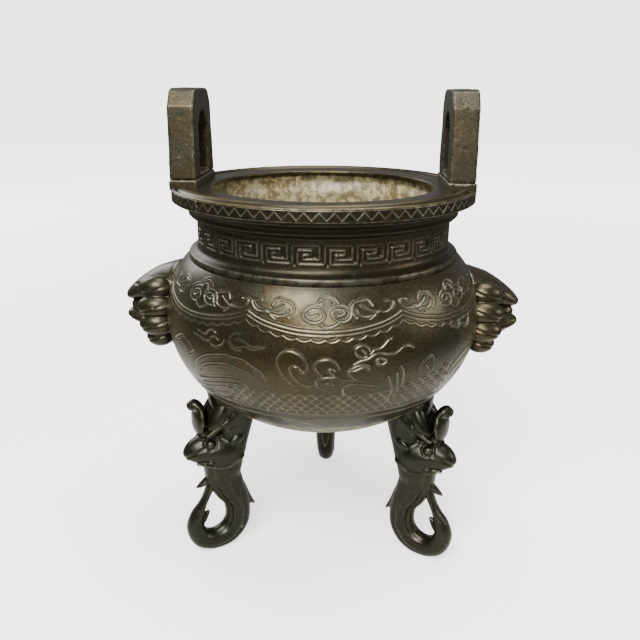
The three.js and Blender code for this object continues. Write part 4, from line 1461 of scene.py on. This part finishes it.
class BURNER_OT_stage(bpy.types.Operator):
    """Set the pale floor, the soft lights and the camera"""
    bl_idname = "burner.stage"
    bl_label = "Stage"

    def execute(self, context):
        stage = context.scene.burner_stage
        self.floor(context, stage)
        for name, (place, size, power) in LIGHTS.items():
            light = bpy.data.lights.new(name, "AREA")
            light.shape = "DISK"
            light.size = size
            light.energy = power
            lamp = bpy.data.objects.new(name, light)
            lamp.location = place
            lamp.rotation_mode = "QUATERNION"
            lamp.rotation_quaternion = (Vector(LIT_POINT) - Vector(place)).to_track_quat("-Z", "Y")
            context.scene.collection.objects.link(lamp)
        self.world(context)
        self.camera(context, stage)
        return {"FINISHED"}

    def floor(self, context, stage):
        """A pale floor that glows to white with distance in the picture and shades what mirrors it."""
        bpy.ops.mesh.primitive_circle_add(vertices=96, radius=stage.floor_radius, fill_type="NGON")
        floor = context.object
        floor.name = "floor"
        pale = bpy.data.materials.new("Studio Floor")
        pale.use_nodes = True
        tree = pale.node_tree
        shader = tree.nodes["Principled BSDF"]
        shader.inputs["Roughness"].default_value = 0.9
        shader.inputs["Emission Strength"].default_value = 1.0
        place = object_place(tree)
        seen = tree.nodes.new("ShaderNodeLightPath").outputs["Is Camera Ray"]
        reach = distance(tree, place)
        tone = stage.floor_tone
        near, far = FLOOR_SHADES
        paper = mixed(tree, noise(tree, place, PAPER_GRAIN, 2), (tone, tone, tone, 1),
                      opaque(tone * part for part in PAPER_SHARES))
        in_bronze = mixed(tree, ramp(tree, reach, *FLOOR_REACH), opaque(tone * part for part in near), far)
        tree.links.new(mixed(tree, seen, in_bronze, paper), shader.inputs["Base Color"])
        haze = mixed(tree, ramp(tree, reach, *HAZE_REACH), *FLOOR_HAZE)
        tree.links.new(mixed(tree, seen, (0.0, 0.0, 0.0, 1), haze), shader.inputs["Emission Color"])
        floor.data.materials.append(pale)
        floor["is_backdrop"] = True

    def world(self, context):
        """A white surround for the picture and a dimmer one for the light."""
        world = bpy.data.worlds.new("Studio")
        world.use_nodes = True
        tree = world.node_tree
        path = tree.nodes.new("ShaderNodeLightPath")
        strength = ramp(tree, path.outputs["Is Camera Ray"], 0.0, 1.0, WORLD_LIGHT, WORLD_WHITE)
        background = tree.nodes["Background"]
        background.inputs["Color"].default_value = WORLD_TINT
        tree.links.new(strength, background.inputs["Strength"])
        context.scene.world = world

    def camera(self, context, stage):
        """The camera at the angle of the photograph."""
        forward = Vector(CAMERA_FORWARD)
        right = Vector(CAMERA_RIGHT)
        up = right.cross(forward)
        c, s = math.cos(CAMERA_ROLL), math.sin(CAMERA_ROLL)
        axes = Matrix((right * c + up * s, up * c - right * s, -forward)).transposed()
        data = bpy.data.cameras.new("camera")
        data.sensor_width = SENSOR_MM
        data.lens = stage.lens
        data.clip_start, data.clip_end = CAMERA_REACH
        camera = bpy.data.objects.new("camera", data)
        camera.matrix_world = Matrix.Translation(CAMERA_PLACE) @ axes.to_4x4()
        context.scene.collection.objects.link(camera)
        context.scene.camera = camera


class BURNER_PT_panel(bpy.types.Panel):
    """Steps that build the incense burner."""
    bl_idname = "BURNER_PT_panel"
    bl_label = "Incense Burner"
    bl_space_type = "VIEW_3D"
    bl_region_type = "UI"
    bl_category = "Burner"

    def draw(self, context):
        for step in STEPS:
            self.layout.operator(step.bl_idname)


STEPS = [BURNER_OT_bowl, BURNER_OT_ears, BURNER_OT_masks, BURNER_OT_legs, BURNER_OT_stage]
SETTINGS = {
    "burner_bowl": BowlSettings, "burner_cast": CastSettings, "burner_finish": FinishSettings,
    "burner_stage": StageSettings,
}


def register():
    """Registers the settings, the steps and the panel."""
    for name, group in SETTINGS.items():
        bpy.utils.register_class(group)
        setattr(bpy.types.Scene, name, PointerProperty(type=group))
    for step in STEPS:
        bpy.utils.register_class(step)
    bpy.utils.register_class(BURNER_PT_panel)


def unregister():
    """Takes away what register added."""
    bpy.utils.unregister_class(BURNER_PT_panel)
    for step in reversed(STEPS):
        bpy.utils.unregister_class(step)
    for name, group in reversed(SETTINGS.items()):
        delattr(bpy.types.Scene, name)
        bpy.utils.unregister_class(group)


def corners(box):
    """A box as plain lists."""
    return [list(corner) for corner in box]


def main():
    """Builds the burner and its stage."""
    register()
    for step in STEPS:
        group, name = step.bl_idname.split(".")
        getattr(getattr(bpy.ops, group), name)()
    {"cad": corners(CAD_BOX), "visual": corners(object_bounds())}


if __name__ == "__main__":
    main()
